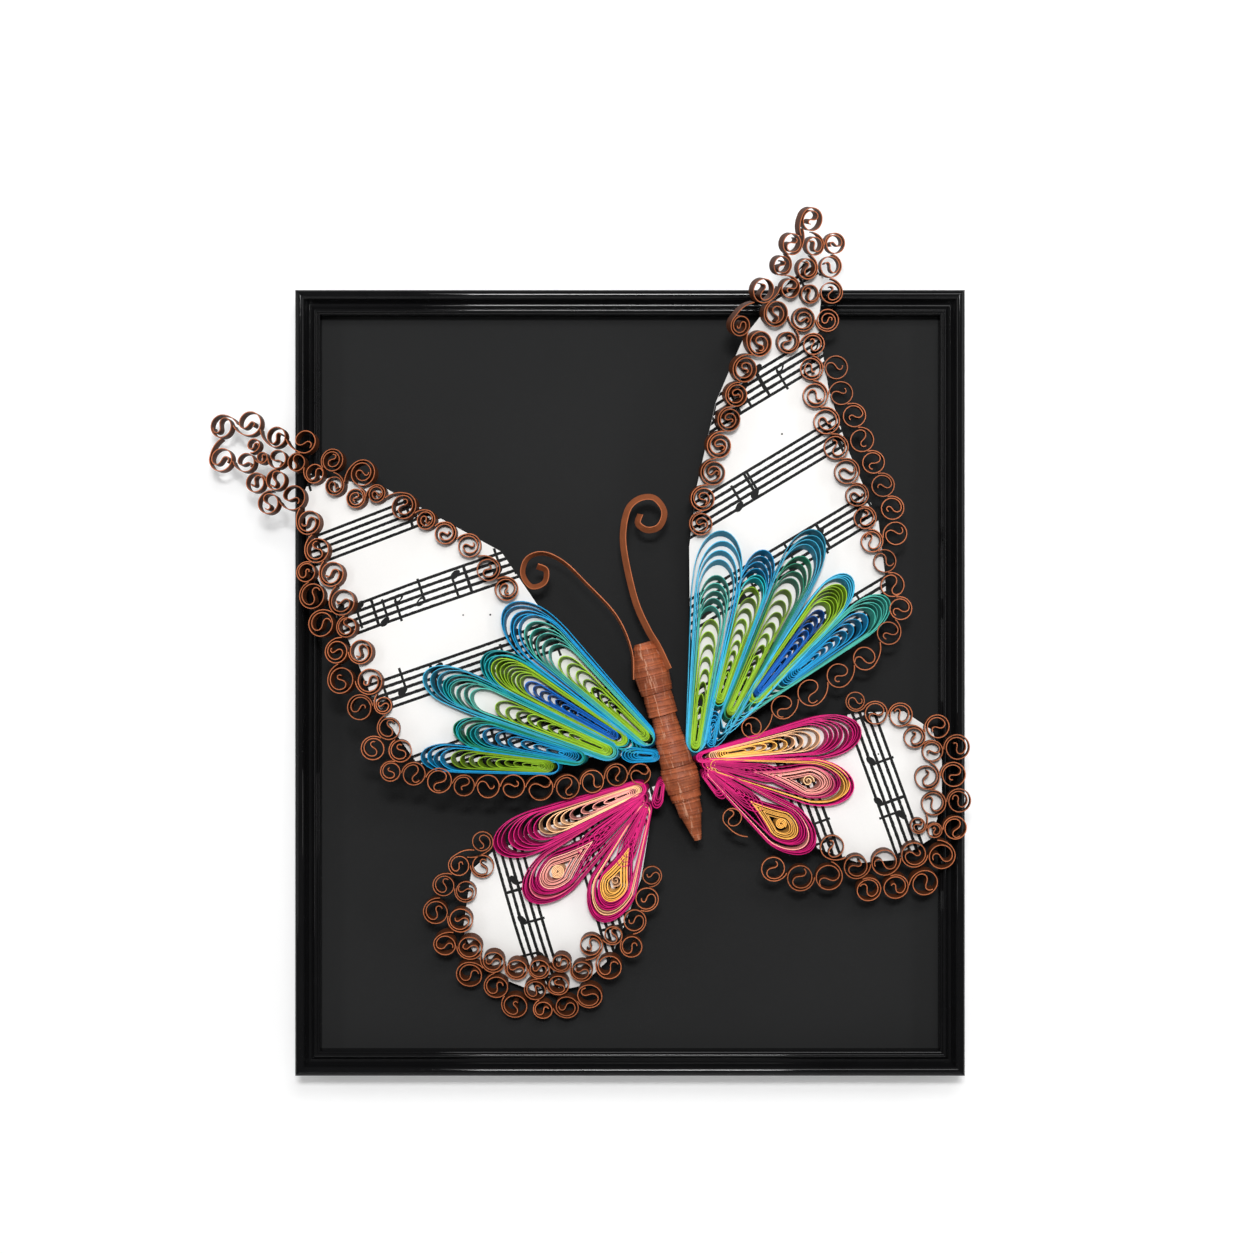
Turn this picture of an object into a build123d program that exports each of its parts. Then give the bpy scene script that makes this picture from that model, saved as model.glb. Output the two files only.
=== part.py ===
# A framed piece of quilled paper wall art: a large raised butterfly, made of rolled and folded
# paper strips on bent paper wings, fixed over a charcoal card in a thin black moulded frame.
#
# Units are millimetres, +Z is up and the front faces -Y. The origin is the point where the
# frame hangs: the middle notch of the hanger, in the plane of the frame's back.
# The butterfly has a pattern of its own, x to the right and z up from a point on the body, and
# depths count forwards from the wall. Every strip stands on its edge on the wing below it.

import os
from build123d import *
from math import asin, atan2, cos, hypot, pi, radians, sin, tan

os.makedirs("parts", exist_ok=True)

# Frame: a thin moulding with two beads, mitred at the corners
frame_width = 213.0
frame_height = 250.0
rail_width = 7.8
rail_depth = 14.0
rabbet_width = 3.8
rabbet_depth = 7.0
outer_bead_width = 3.2
outer_bead_height = 1.3
bead_slope_width = 1.0
bead_slope_drop = 1.4
cove_width = 1.6
cove_depth = 0.5
inner_bead_width = 1.4
inner_bead_height = 0.7
inner_bead_drop = 1.5
lip_chamfer = 0.5

# Boards in the rabbet, and the flat steel points that hold them
backing_thickness = 1.5
board_thickness = 2.5
board_clearance = 0.3
point_length = 7.0
point_width = 5.0
point_thickness = 0.5
point_bite = 2.5
point_spacing = 110.0

# Toothed hanger on the back board, held by prongs at its feet
hanger_length = 44.0
hanger_height = 9.0
hanger_metal = 0.8
hanger_lift = 0.9
hanger_foot = 7.0
notch_count = 9
notch_depth = 1.4
hanger_below_top = 26.0
prong_width = 1.2
prong_length = 2.0
prong_inset = 1.5
prong_fit = 0.05

# Butterfly: how far its pattern's middle is from the frame's left and bottom edges, because its left
# tip droops just past the left rail and its hindwings just clear the bottom rail, and its paper stock
pattern_from_left = 116.0
pattern_from_bottom = 107.2
root_height = 10.5
card_thickness = 0.3
strip_width = 3.2
strip_thickness = 0.3
strip_gap = 0.12

# Scrolls: how far the strip closes in over its one turn, and its hooked inner end
scroll_facets = 6
scroll_closing = 0.5
longest_tail = 2.4
hook_reach = 0.22
hook_turn = 120.0

# Petals: loops of strip pinched together at the root
loop_facets = 8
core_facets = 6
pinch_length = 3.0

# Foam blocks that carry the wings and the body off the backing card
foam_side = 15.0
body_foam_length = 36.0
body_foam_width = 6.0
body_foam_start = 10.0

# Body: a strip wound into five tapering rolls. Each is (distance from the head, radius) pairs
head_x = -5.4
head_z = 30.6
body_lean = 15.6
body_height = 11.7
body_gap = 0.1
thorax = [(0, 2.9), (1.3, 3.4), (4.6, 4.6), (8.8, 5.7), (12.4, 5.4), (16.4, 4.7)]
waist = [(16.4, 4.5), (23.6, 4.4)]
upper_abdomen = [(23.6, 4.0), (40.3, 5.3)]
lower_abdomen = [(40.3, 5.4), (43.2, 5.9), (48.5, 5.3)]
tail = [(48.5, 5.0), (51.2, 4.8), (51.2, 4.2), (56.3, 3.8), (56.3, 3.5), (64.6, 1.2)]
roll_facets = 16

# Antennae: the lines of two strips on edge, from the head to the curled ends
antenna_left = [(-9.0, 28.4), (-14.0, 39.2), (-23.9, 49.8), (-31.5, 55.9), (-38.2, 59.0),
                (-43.6, 57.0), (-45.2, 52.4), (-42.4, 49.0), (-38.2, 50.3), (-37.6, 54.0),
                (-40.6, 55.5)]
antenna_right = [(-0.7, 29.4), (-4.0, 34.0), (-7.8, 43.7), (-10.9, 56.7), (-11.7, 65.1),
                 (-10.1, 72.8), (-6.3, 76.2), (-1.7, 76.2), (1.3, 72.0), (-0.2, 67.4),
                 (-4.0, 66.2), (-7.0, 68.2), (-6.3, 71.2)]

backing_depth = rabbet_depth
board_back = rabbet_depth - backing_thickness - board_thickness
frame_middle_z = hanger_below_top - frame_height / 2
pattern_origin_x = pattern_from_left - frame_width / 2
pattern_origin_z = frame_middle_z - frame_height / 2 + pattern_from_bottom
root_depth = backing_depth + root_height
body_depth = backing_depth + body_height


def front(depth):
    """The plane facing the viewer at a depth in front of the wall, centred on the frame."""
    return Plane(origin=(0, -depth, frame_middle_z), x_dir=(1, 0, 0), z_dir=(0, -1, 0))


def pattern(depth):
    """The same plane, centred on the butterfly's pattern."""
    return Plane(origin=(pattern_origin_x, -depth, pattern_origin_z), x_dir=(1, 0, 0), z_dir=(0, -1, 0))


def save(block, name):
    block.part.label = name
    export_step(block.part, f"parts/{name}.step")


# Frame rails. The section runs inwards from the outer edge and forwards from the back, and the
# step at its back is the rabbet. The narrow slots take the flat points.
def rail(name, middle, inward, length):
    inward_3d = Vector(inward[0], 0, inward[1])
    along_3d = Vector(inward[1], 0, -inward[0])
    middle_3d = Vector(middle[0], 0, frame_middle_z + middle[1])
    section = Plane(origin=middle_3d, x_dir=inward_3d, z_dir=along_3d)
    bead_foot = rail_depth - outer_bead_height
    slope_foot = bead_foot - bead_slope_drop
    inner_foot = rail_depth - inner_bead_drop
    slope_end = outer_bead_width + bead_slope_width
    cove_end = slope_end + cove_width
    bead_end = cove_end + inner_bead_width
    wall = rail_width - rabbet_width
    with BuildPart() as piece:
        with BuildSketch(section):
            with BuildLine():
                Line((0, 0), (0, bead_foot))
                ThreePointArc((0, bead_foot), (outer_bead_width / 2, rail_depth),
                              (outer_bead_width, bead_foot))
                Line((outer_bead_width, bead_foot), (slope_end, slope_foot))
                ThreePointArc((slope_end, slope_foot),
                              (slope_end + cove_width / 2, slope_foot - cove_depth),
                              (cove_end, inner_foot))
                ThreePointArc((cove_end, inner_foot),
                              (cove_end + inner_bead_width / 2, inner_foot + inner_bead_height),
                              (bead_end, inner_foot))
                Polyline((bead_end, inner_foot), (rail_width, inner_foot - lip_chamfer),
                         (rail_width, rabbet_depth), (wall, rabbet_depth), (wall, 0), (0, 0))
            make_face()
        extrude(amount=length / 2, both=True)
        for end in (1, -1):
            corner = middle_3d + along_3d * (end * length / 2)
            split(bisect_by=Plane(origin=corner, z_dir=inward_3d + along_3d * end), keep=Keep.BOTTOM)
        for side in (1, -1):
            with BuildSketch(section.offset(side * point_spacing / 2 - point_width / 2)):
                with Locations((wall - point_bite / 2, board_back - point_thickness / 2)):
                    Rectangle(point_bite, point_thickness)
            extrude(amount=point_width, mode=Mode.SUBTRACT)
    save(piece, name)


half_width = frame_width / 2
half_height = frame_height / 2
rail("frame_rail_bottom", (0, -half_height), (0, 1), frame_width)
rail("frame_rail_top", (0, half_height), (0, -1), frame_width)
rail("frame_rail_left", (-half_width, 0), (1, 0), frame_height)
rail("frame_rail_right", (half_width, 0), (-1, 0), frame_height)

# Backing card and back board, cut to the rabbet
wall_thickness = rail_width - rabbet_width
board_width = frame_width - 2 * (wall_thickness + board_clearance)
board_height = frame_height - 2 * (wall_thickness + board_clearance)
prong_x = (hanger_length - hanger_metal) / 2
prong_z = hanger_height / 2 - prong_inset
hanger_middle_z = hanger_height / 2 - notch_depth
board_face = Plane(origin=(0, -board_back, hanger_middle_z), x_dir=(1, 0, 0), z_dir=(0, -1, 0))
prong_spots = [(side * prong_x, end * prong_z) for side in (1, -1) for end in (1, -1)]

with BuildPart() as backing_card:
    with BuildSketch(front(backing_depth - backing_thickness)):
        Rectangle(board_width, board_height)
    extrude(amount=backing_thickness)
save(backing_card, "backing_card")

with BuildPart() as back_board:
    with BuildSketch(front(board_back)):
        Rectangle(board_width, board_height)
    extrude(amount=board_thickness)
    with BuildSketch(board_face):
        with Locations(*prong_spots):
            Rectangle(hanger_metal + 2 * prong_fit, prong_width + 2 * prong_fit)
    extrude(amount=prong_length, mode=Mode.SUBTRACT)
save(back_board, "back_board")

# Flat points, pressed into the rails and lying on the board's back
inner_wall_x = half_width - wall_thickness
inner_wall_z = half_height - wall_thickness
point_middle = point_bite - point_length / 2
with BuildPart() as frame_points:
    with BuildSketch(front(board_back - point_thickness)):
        for end in (1, -1):
            for side in (1, -1):
                with Locations((side * point_spacing / 2, end * (inner_wall_z + point_middle))):
                    Rectangle(point_width, point_length)
                with Locations((end * (inner_wall_x + point_middle), side * point_spacing / 2)):
                    Rectangle(point_length, point_width)
    extrude(amount=point_thickness)
save(frame_points, "frame_points")

# Toothed hanger: a bent steel plate, its feet on the board and its notches open downwards
flat_half = hanger_length / 2 - hanger_foot
raised_half = flat_half - hanger_lift
notch_pitch = 2 * raised_half / (notch_count + 1)
bend_outline = [(-hanger_length / 2, 0), (-flat_half, 0), (-raised_half, hanger_lift),
                (raised_half, hanger_lift), (flat_half, 0), (hanger_length / 2, 0)]
metal_outline = [(x, y + hanger_metal) for x, y in reversed(bend_outline)]
with BuildPart() as sawtooth_hanger:
    with BuildSketch(Plane.XY.offset(-notch_depth)):
        with BuildLine():
            Polyline([(x, y - board_back) for x, y in bend_outline + metal_outline], close=True)
        make_face()
    extrude(amount=hanger_height)
    with BuildSketch(Plane.XZ):
        for i in range(notch_count):
            notch_x = (i - (notch_count - 1) / 2) * notch_pitch
            with BuildLine():
                Polyline((notch_x, 0), (notch_x - notch_pitch / 2, -notch_depth),
                         (notch_x + notch_pitch / 2, -notch_depth), close=True)
            make_face()
    extrude(amount=board_back, mode=Mode.SUBTRACT)
    with BuildSketch(board_face):
        with Locations(*prong_spots):
            Rectangle(hanger_metal, prong_width)
    extrude(amount=prong_length)
save(sawtooth_hanger, "sawtooth_hanger")


# Wings. Each is a card bent about one direction: it leaves the root at one slope, bends round
# a radius from the distance bend_start on, and ends at another slope.
class Wing:
    def __init__(self, root, direction, slope, bend_start, bend_radius, end_slope):
        self.root = root
        self.direction = radians(direction)
        self.slope = radians(slope)
        self.bend_start = bend_start
        self.end_slope = radians(end_slope)
        self.turn = 1 if end_slope > slope else -1
        self.bend_radius = bend_radius
        self.bend_length = bend_radius * abs(sin(self.end_slope) - sin(self.slope))

    def reach(self, x, z):
        """Distance of a point from the root, along the wing's direction."""
        return (x - self.root[0]) * cos(self.direction) + (z - self.root[1]) * sin(self.direction)

    def slope_at(self, distance):
        bent = min(max(distance - self.bend_start, 0), self.bend_length)
        return asin(sin(self.slope) + self.turn * bent / self.bend_radius)

    def rise(self, distance):
        """Height of the card's front above the root."""
        angle = self.slope_at(distance)
        flat = min(distance, self.bend_start) * tan(self.slope)
        bend = self.turn * self.bend_radius * (cos(self.slope) - cos(angle))
        beyond = max(distance - self.bend_start - self.bend_length, 0) * tan(self.end_slope)
        return flat + bend + beyond

    def plane(self, x, z, radius=0.0):
        """The plane of the card's front at a point, lifted where the card curls up round it."""
        distance = self.reach(x, z)
        angle = self.slope_at(distance)
        out = Vector(cos(self.direction), 0, sin(self.direction))
        normal = Vector(0, -1, 0) * cos(angle) - out * sin(angle)
        near_bend = self.bend_start - radius < distance < self.bend_start + self.bend_length + radius
        lift = radius ** 2 / (2 * self.bend_radius) if self.turn > 0 and near_bend else 0
        depth = root_depth + self.rise(distance)
        spot = Vector(pattern_origin_x + x, -depth, pattern_origin_z + z) + normal * lift
        right = Vector(1, 0, 0) - normal * normal.X
        return Plane(origin=spot, x_dir=right, z_dir=normal)


def wing_card(name, wing, outline, length):
    """The bent sheet, cut to the wing's outline."""
    base = Vector(pattern_origin_x + wing.root[0], -root_depth, pattern_origin_z + wing.root[1])
    out = Vector(cos(wing.direction), 0, sin(wing.direction))
    section = Plane(origin=base, x_dir=out, z_dir=out.cross(Vector(0, -1, 0)))
    start = -length
    bend_end = wing.bend_start + wing.bend_length
    bend_middle = wing.bend_start + wing.bend_length / 2
    thick = card_thickness

    def skin(distance, depth):
        angle = wing.slope_at(distance)
        return (distance + depth * sin(angle), wing.rise(distance) - depth * cos(angle))

    with BuildPart() as card:
        with BuildSketch(section):
            with BuildLine():
                Line(skin(start, 0), skin(wing.bend_start, 0))
                ThreePointArc(skin(wing.bend_start, 0), skin(bend_middle, 0), skin(bend_end, 0))
                Polyline(skin(bend_end, 0), skin(2 * length, 0), skin(2 * length, thick),
                         skin(bend_end, thick))
                ThreePointArc(skin(bend_end, thick), skin(bend_middle, thick),
                              skin(wing.bend_start, thick))
                Polyline(skin(wing.bend_start, thick), skin(start, thick), skin(start, 0))
            make_face()
        extrude(amount=2 * length, both=True)
        with BuildSketch(pattern(0)):
            with BuildLine():
                Polyline(outline, close=True)
            make_face()
        extrude(amount=2 * root_depth + length, both=True, mode=Mode.INTERSECT)
    save(card, name)


def foam_pad(name, wing, x, z):
    """A block from the backing card up to the back of the wing."""
    with BuildPart() as pad:
        with BuildSketch(pattern(backing_depth)):
            with Locations((x, z)):
                Rectangle(foam_side, foam_side)
        extrude(amount=2 * root_height)
        split(bisect_by=wing.plane(x, z).offset(-card_thickness), keep=Keep.BOTTOM)
    save(pad, name)


left_forewing = Wing((-1.6, -4.7), 152.4, 10, 69.5, 60, -16)
right_forewing = Wing((12.6, -3.8), 150.2, 0, 32.8, 40, 28)
left_hindwing = Wing((-1.3, -14.5), 258.5, 0, 45, 50, -18)
right_hindwing = Wing((12.0, -6.0), 285.0, 0, 38, 50, -16)

left_forewing_outline = [(-1.6, -4.7), (-16, 22), (-37, 42), (-49.5, 59), (-86, 79), (-110.5, 84),
                         (-112.5, 78), (-111, 57), (-97, 31), (-89, 12.5), (-75.5, -7)]
right_forewing_outline = [(12.6, -3.8), (9.4, 38), (9.2, 61), (11.6, 80), (17.5, 106),
                          (26.3, 126.5), (46.0, 151), (51.5, 146), (50.0, 131), (53.2, 111),
                          (59.0, 92.5), (69.0, 69), (71.0, 53), (71.5, 44.5), (38, 14.5)]
left_hindwing_outline = [(-1.3, -14.5), (-50, -33), (-59.5, -41), (-62.5, -61), (-58, -70),
                         (-50, -76.5), (-37.5, -81.5), (-25, -78.5), (-15.5, -69), (-11, -58),
                         (-6, -44)]
right_hindwing_outline = [(12.0, -6.0), (61.5, 8.5), (77, 9), (86, 3), (89, -6.5), (89, -19),
                          (86, -31), (75.5, -38), (63, -39), (50, -34.5)]

wing_card("forewing_card_left", left_forewing, left_forewing_outline, frame_width)
wing_card("forewing_card_right", right_forewing, right_forewing_outline, frame_width)
wing_card("hindwing_card_left", left_hindwing, left_hindwing_outline, frame_width)
wing_card("hindwing_card_right", right_hindwing, right_hindwing_outline, frame_width)
foam_pad("foam_pad_left_forewing", left_forewing, -33, 12)
foam_pad("foam_pad_right_forewing", right_forewing, 26, 26)
foam_pad("foam_pad_left_hindwing", left_hindwing, -27, -38)
foam_pad("foam_pad_right_hindwing", right_hindwing, 40, -14)


# Scrolls. The outer end of each strip reaches out to the scroll that it's glued to. From there
# the strip runs once round, closes in a little and ends in a hook that turns back through the
# middle. A scroll is given by x, z and its radius.
def strip_outline(points, thickness):
    """Both sides of a strip that follows a line of points, mitred at each point."""
    sides = ([], [])
    last = len(points) - 1
    for i, (x, z) in enumerate(points):
        before = points[max(i - 1, 0)]
        after = points[min(i + 1, last)]
        arrive = atan2(z - before[1], x - before[0]) if i > 0 else atan2(after[1] - z, after[0] - x)
        leave = atan2(after[1] - z, after[0] - x) if i < last else arrive
        bend = (leave - arrive + pi) % (2 * pi) - pi
        across = arrive + bend / 2 + pi / 2
        half = thickness / 2 / cos(bend / 2)
        sides[0].append((x + half * cos(across), z + half * sin(across)))
        sides[1].append((x - half * cos(across), z - half * sin(across)))
    return sides[0] + sides[1][::-1]


def scroll_line(radius, reach, angle, hand):
    """Points of one scroll about its own middle, from its outer end to its hook."""
    outer = radius - strip_thickness / 2
    points = [(reach * cos(angle), reach * sin(angle))]
    for i in range(1, scroll_facets + 1):
        share = i / scroll_facets
        turned = angle + hand * 2 * pi * share
        distance = outer - scroll_closing * share
        points.append((distance * cos(turned), distance * sin(turned)))
    turned = angle + hand * radians(hook_turn)
    points.append((radius * hook_reach * cos(turned), radius * hook_reach * sin(turned)))
    return points


def seat_scrolls(scrolls, wing):
    """Each scroll's radius, cut back where two would run into each other, with the reach of its
    outer end and the angle at which that end meets the nearest of the scrolls laid before it."""
    feet = [wing.plane(x, z) for x, z, radius in scrolls]
    tops = [foot.offset(strip_width) for foot in feet]
    count = len(scrolls)
    apart = [[min((feet[i].origin - feet[j].origin).length, (tops[i].origin - tops[j].origin).length)
              - strip_gap for j in range(count)] for i in range(count)]
    wanted = [radius for x, z, radius in scrolls]
    others = [[j for j in range(count) if j != i] for i in range(count)]
    radii = [min([wanted[i]] + [apart[i][j] * wanted[i] / (wanted[i] + wanted[j]) for j in others[i]])
             for i in range(count)]
    seats = []
    for i, (x, z, radius) in enumerate(scrolls):
        nearest = min(range(i) if i > 0 else [1], key=lambda j: apart[i][j] - radii[j])
        reach = min(apart[i][nearest] - radii[nearest], longest_tail * radii[i])
        angle = atan2(scrolls[nearest][1] - z, scrolls[nearest][0] - x)
        seats.append((x, z, radii[i], reach, angle))
    return seats


def scroll_groups(wing, groups):
    """One piece for each named row: its scrolls, standing on the wing."""
    seats = iter(seat_scrolls([scroll for name, hand, rows in groups for scroll in rows], wing))
    for name, hand, rows in groups:
        with BuildPart() as group:
            for scroll in rows:
                x, z, radius, reach, angle = next(seats)
                with BuildSketch(wing.plane(x, z, radius)):
                    with BuildLine():
                        Polyline(strip_outline(scroll_line(radius, reach, angle, hand), strip_thickness),
                                 close=True)
                    make_face()
            extrude(amount=strip_width)
        save(group, name)


scroll_groups(left_forewing, [
    ("scrolls_left_forewing_tip", 1, [
        (-139.1, 99.3, 3.9), (-129.8, 100.0, 4.1), (-121.0, 95.5, 3.5),
        (-111.4, 93.7, 4.0), (-139.1, 88.7, 4.1), (-130.8, 87.5, 3.2),
        (-128.3, 93.0, 2.2), (-125.4, 88.9, 2.0), (-120.4, 88.4, 3.2),
        (-114.0, 87.2, 3.2), (-120.7, 81.7, 3.4), (-127.4, 81.0, 3.3),
        (-123.0, 74.4, 3.6), (-114.8, 76.0, 4.1), (-108.1, 83.5, 3.6)]),
    ("scrolls_left_forewing_top", -1, [
        (-102.3, 87.6, 4.2), (-101.4, 79.6, 3.3), (-92.5, 83.4, 4.4),
        (-94.5, 75.6, 3.3), (-87.8, 76.8, 3.0), (-79.1, 72.8, 4.3),
        (-72.0, 68.4, 3.2), (-66.2, 64.4, 3.6), (-59.1, 60.7, 3.8),
        (-53.6, 53.6, 3.8), (-48.2, 47.6, 3.8)]),
    ("scrolls_left_forewing_side", 1, [
        (-109.7, 68.1, 4.1), (-106.8, 59.3, 4.2), (-110.2, 52.4, 3.3),
        (-101.9, 51.8, 4.2), (-108.1, 45.0, 4.3), (-98.4, 43.0, 4.4),
        (-105.0, 36.3, 4.3), (-96.8, 35.2, 3.4), (-99.9, 27.6, 3.9),
        (-92.2, 27.6, 4.0), (-98.4, 18.8, 4.4), (-89.6, 18.6, 4.2),
        (-85.6, 11.4, 2.9), (-92.6, 10.6, 4.2), (-84.1, 4.4, 3.7),
        (-88.9, -1.8, 3.8), (-80.8, -2.4, 3.7), (-83.9, -8.8, 3.3)]),
    ("scrolls_left_forewing_bottom", -1, [
        (-76.9, -9.6, 3.8), (-69.2, -11.8, 4.1), (-61.6, -13.4, 3.5),
        (-54.2, -13.8, 3.8), (-46.4, -13.8, 3.8), (-38.0, -14.4, 4.2),
        (-29.6, -14.2, 4.0), (-21.8, -12.6, 3.8), (-14.2, -10.6, 3.7),
        (-6.8, -10.4, 3.5)]),
])
scroll_groups(right_forewing, [
    ("scrolls_right_forewing_tip", -1, [
        (45.9, 163.4, 3.9), (39.9, 155.7, 3.6), (47.3, 155.6, 3.2),
        (54.1, 156.4, 3.4), (36.8, 149.0, 3.3), (45.1, 148.5, 3.5),
        (53.0, 149.2, 3.6), (39.6, 142.4, 3.5), (53.6, 141.0, 4.3),
        (31.0, 141.1, 4.1), (46.4, 140.6, 3.6)]),
    ("scrolls_right_forewing_edge", 1, [
        (23.6, 130.2, 3.5), (35.0, 134.4, 4.4), (44.4, 132.6, 4.0),
        (52.6, 132.1, 3.8), (30.0, 125.0, 4.2), (25.3, 117.0, 4.3),
        (22.8, 108.9, 3.8), (20.7, 101.2, 3.9), (17.7, 93.0, 4.1),
        (16.0, 84.4, 4.1), (12.9, 76.2, 4.0), (12.6, 68.2, 3.8)]),
    ("scrolls_right_forewing_inner", -1, [
        (39.6, 125.4, 3.6), (48.2, 124.6, 3.6), (47.6, 116.9, 3.8),
        (48.8, 108.6, 4.3), (52.3, 100.4, 4.3), (55.3, 92.2, 4.1),
        (58.7, 84.6, 4.2), (61.9, 77.2, 3.8), (64.4, 70.0, 3.7),
        (66.6, 62.6, 3.8)]),
    ("scrolls_right_forewing_outer", -1, [
        (55.3, 117.2, 3.9), (56.9, 109.1, 4.0), (61.0, 102.1, 3.8),
        (63.4, 94.4, 3.9), (67.0, 87.4, 3.7), (70.0, 80.2, 3.8),
        (73.0, 73.0, 3.8), (74.0, 65.0, 3.8), (70.6, 56.3, 3.9),
        (73.0, 48.8, 3.9), (75.6, 41.4, 3.7)]),
    ("scrolls_right_forewing_bottom", -1, [
        (71.9, 33.8, 3.9), (64.4, 25.8, 3.9), (56.2, 20.4, 4.0),
        (47.4, 15.0, 4.4), (38.6, 10.4, 3.9), (28.9, 4.0, 3.5)]),
])
scroll_groups(left_hindwing, [
    ("scrolls_left_hindwing_side", 1, [
        (-55.9, -32.0, 3.5), (-63.3, -39.3, 3.5), (-55.9, -39.6, 3.7),
        (-68.1, -45.6, 3.7), (-61.2, -47.6, 3.6), (-70.6, -53.6, 4.2),
        (-62.8, -56.2, 4.2), (-67.8, -63.8, 3.9), (-59.9, -64.8, 4.3),
        (-52.6, -69.4, 3.8), (-60.2, -73.6, 4.4)]),
    ("scrolls_left_hindwing_bottom", 1, [
        (-51.8, -77.6, 4.0), (-45.2, -71.8, 3.8), (-46.0, -84.0, 4.2),
        (-38.0, -71.6, 3.6), (-39.4, -78.6, 3.6), (-37.0, -85.2, 3.2),
        (-32.0, -76.9, 3.5), (-31.0, -69.6, 3.6), (-29.4, -84.2, 4.0),
        (-24.6, -72.2, 4.1), (-22.2, -80.4, 4.3), (-21.6, -64.2, 3.8),
        (-16.0, -70.8, 4.2), (-14.8, -61.2, 3.4), (-9.0, -64.6, 4.0),
        (-8.0, -56.8, 3.7), (-4.2, -50.0, 3.8), (-2.6, -42.6, 3.2)]),
])
scroll_groups(right_hindwing, [
    ("scrolls_right_hindwing_side", -1, [
        (61.4, 12.2, 3.2), (67.8, 8.6, 3.8), (75.6, 8.0, 3.9),
        (80.0, 1.0, 3.9), (87.2, 4.3, 3.9), (85.6, -3.4, 3.8),
        (93.4, -2.2, 4.3), (84.0, -11.6, 4.1), (92.2, -10.8, 4.1),
        (86.0, -19.8, 4.0), (94.0, -19.0, 3.9), (81.2, -26.8, 2.8),
        (86.3, -28.2, 2.6), (92.7, -27.4, 4.0)]),
    ("scrolls_right_hindwing_bottom", -1, [
        (88.6, -35.9, 4.4), (79.8, -35.6, 4.2), (70.6, -38.0, 4.4),
        (61.6, -39.4, 4.2), (54.2, -33.6, 4.0), (65.6, -46.4, 4.2),
        (74.2, -45.6, 4.2), (83.3, -44.4, 4.4), (53.0, -42.6, 4.4),
        (44.0, -43.0, 4.3), (35.6, -40.4, 4.0), (22.7, -24.4, 3.2)]),
])


# Petals. Each is a strip folded into an outer loop and a core loop, pinched together at the root.
# A loop turns from the root round its tip and back. Its half width is the sine of the turn times
# a power of its share of the length, so that it is fullest near the tip.
def loop(length, width, fullness, facets, start):
    turns = [2 * pi * (i + 0.5) / facets - pi for i in range(facets)]
    shares = [0.5 + cos(turned) / 2 for turned in turns]
    halves = [sin(turned) * share ** fullness for turned, share in zip(turns, shares)]
    widest = max(halves)
    rim = [(start + (length - start) * share, width / 2 * half / widest)
           for share, half in zip(shares, halves)]
    return [(start, 0)] + rim


def petal(name, wing, root, tip, width, fullness, core=None):
    """The core is its share of the length and its width. A petal with no core is one loop."""
    length = hypot(tip[0] - root[0], tip[1] - root[1])
    angle = atan2(tip[1] - root[1], tip[0] - root[0])
    flat = wing.plane(root[0], root[1])
    lengthwise = flat.x_dir * cos(angle) + flat.y_dir * sin(angle)
    loops = [(length, width, loop_facets)]
    if core:
        loops.append((length * core[0], core[1], core_facets))
    with BuildPart() as piece:
        with BuildSketch(Plane(origin=flat.origin, x_dir=lengthwise, z_dir=flat.z_dir)):
            for reach, wide, facets in loops:
                with BuildLine():
                    Polyline(loop(reach, wide, fullness, facets, 0), close=True)
                make_face()
                inner_reach = reach - strip_thickness
                inner_width = wide - 2 * strip_thickness
                with BuildLine():
                    Polyline(loop(inner_reach, inner_width, fullness, facets, pinch_length), close=True)
                make_face(mode=Mode.SUBTRACT)
        extrude(amount=strip_width)
    save(piece, name)


petal("petal_left_forewing_1", left_forewing, (-3.0, -0.6), (-49.0, 42.9), 14.0, 1.0, (0.72, 6.4))
petal("petal_left_forewing_2", left_forewing, (-10.8, -0.6), (-56.3, 27.2), 9.6, 0.8, (0.8, 5.5))
petal("petal_left_forewing_3", left_forewing, (-14.0, -4.2), (-74.4, 22.1), 9.8, 0.8, (0.63, 6.0))
petal("petal_left_forewing_4", left_forewing, (-24.2, -5.4), (-65.2, 5.4), 7.8, 0.8, (0.8, 5.0))
petal("petal_left_forewing_5", left_forewing, (-32.3, -8.0), (-75.3, -3.5), 6.6, 0.6, (0.76, 4.2))
petal("petal_left_forewing_6", left_forewing, (-0.8, -4.8), (-12.2, -4.4), 3.6, 0.2)
petal("petal_right_forewing_1", right_forewing, (10.8, -3.7), (19.8, 65.9), 12.4, 1.0, (0.66, 5.6))
petal("petal_right_forewing_2", right_forewing, (18.0, 10.9), (33.2, 59.8), 8.6, 0.9, (0.76, 5.6))
petal("petal_right_forewing_3", right_forewing, (21.3, 6.9), (49.4, 66.0), 10.8, 1.1, (0.66, 6.0))
petal("petal_right_forewing_4", right_forewing, (28.6, 12.2), (59.8, 51.8), 9.2, 0.8, (0.8, 5.6))
petal("petal_right_forewing_5", right_forewing, (37.5, 17.2), (71.8, 44.6), 9.2, 0.6, (0.78, 6.0))
petal("petal_right_forewing_6", right_forewing, (15.9, -2.0), (17.3, 9.2), 3.2, 0.2)
petal("petal_left_hindwing_1", left_hindwing, (-4.6, -14.6), (-52.2, -33.7), 11.4, 0.6, (0.72, 6.6))
petal("petal_left_hindwing_2", left_hindwing, (-4.4, -17.2), (-42.2, -49.7), 14.8, 1.2, (0.86, 8.6))
petal("petal_left_hindwing_3", left_hindwing, (-3.9, -19.6), (-19.3, -56.9), 15.6, 1.1, (0.84, 8.6))
petal("petal_left_hindwing_4", left_hindwing, (0.4, -12.6), (-1.4, -21.4), 3.2, 0.2)
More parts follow.
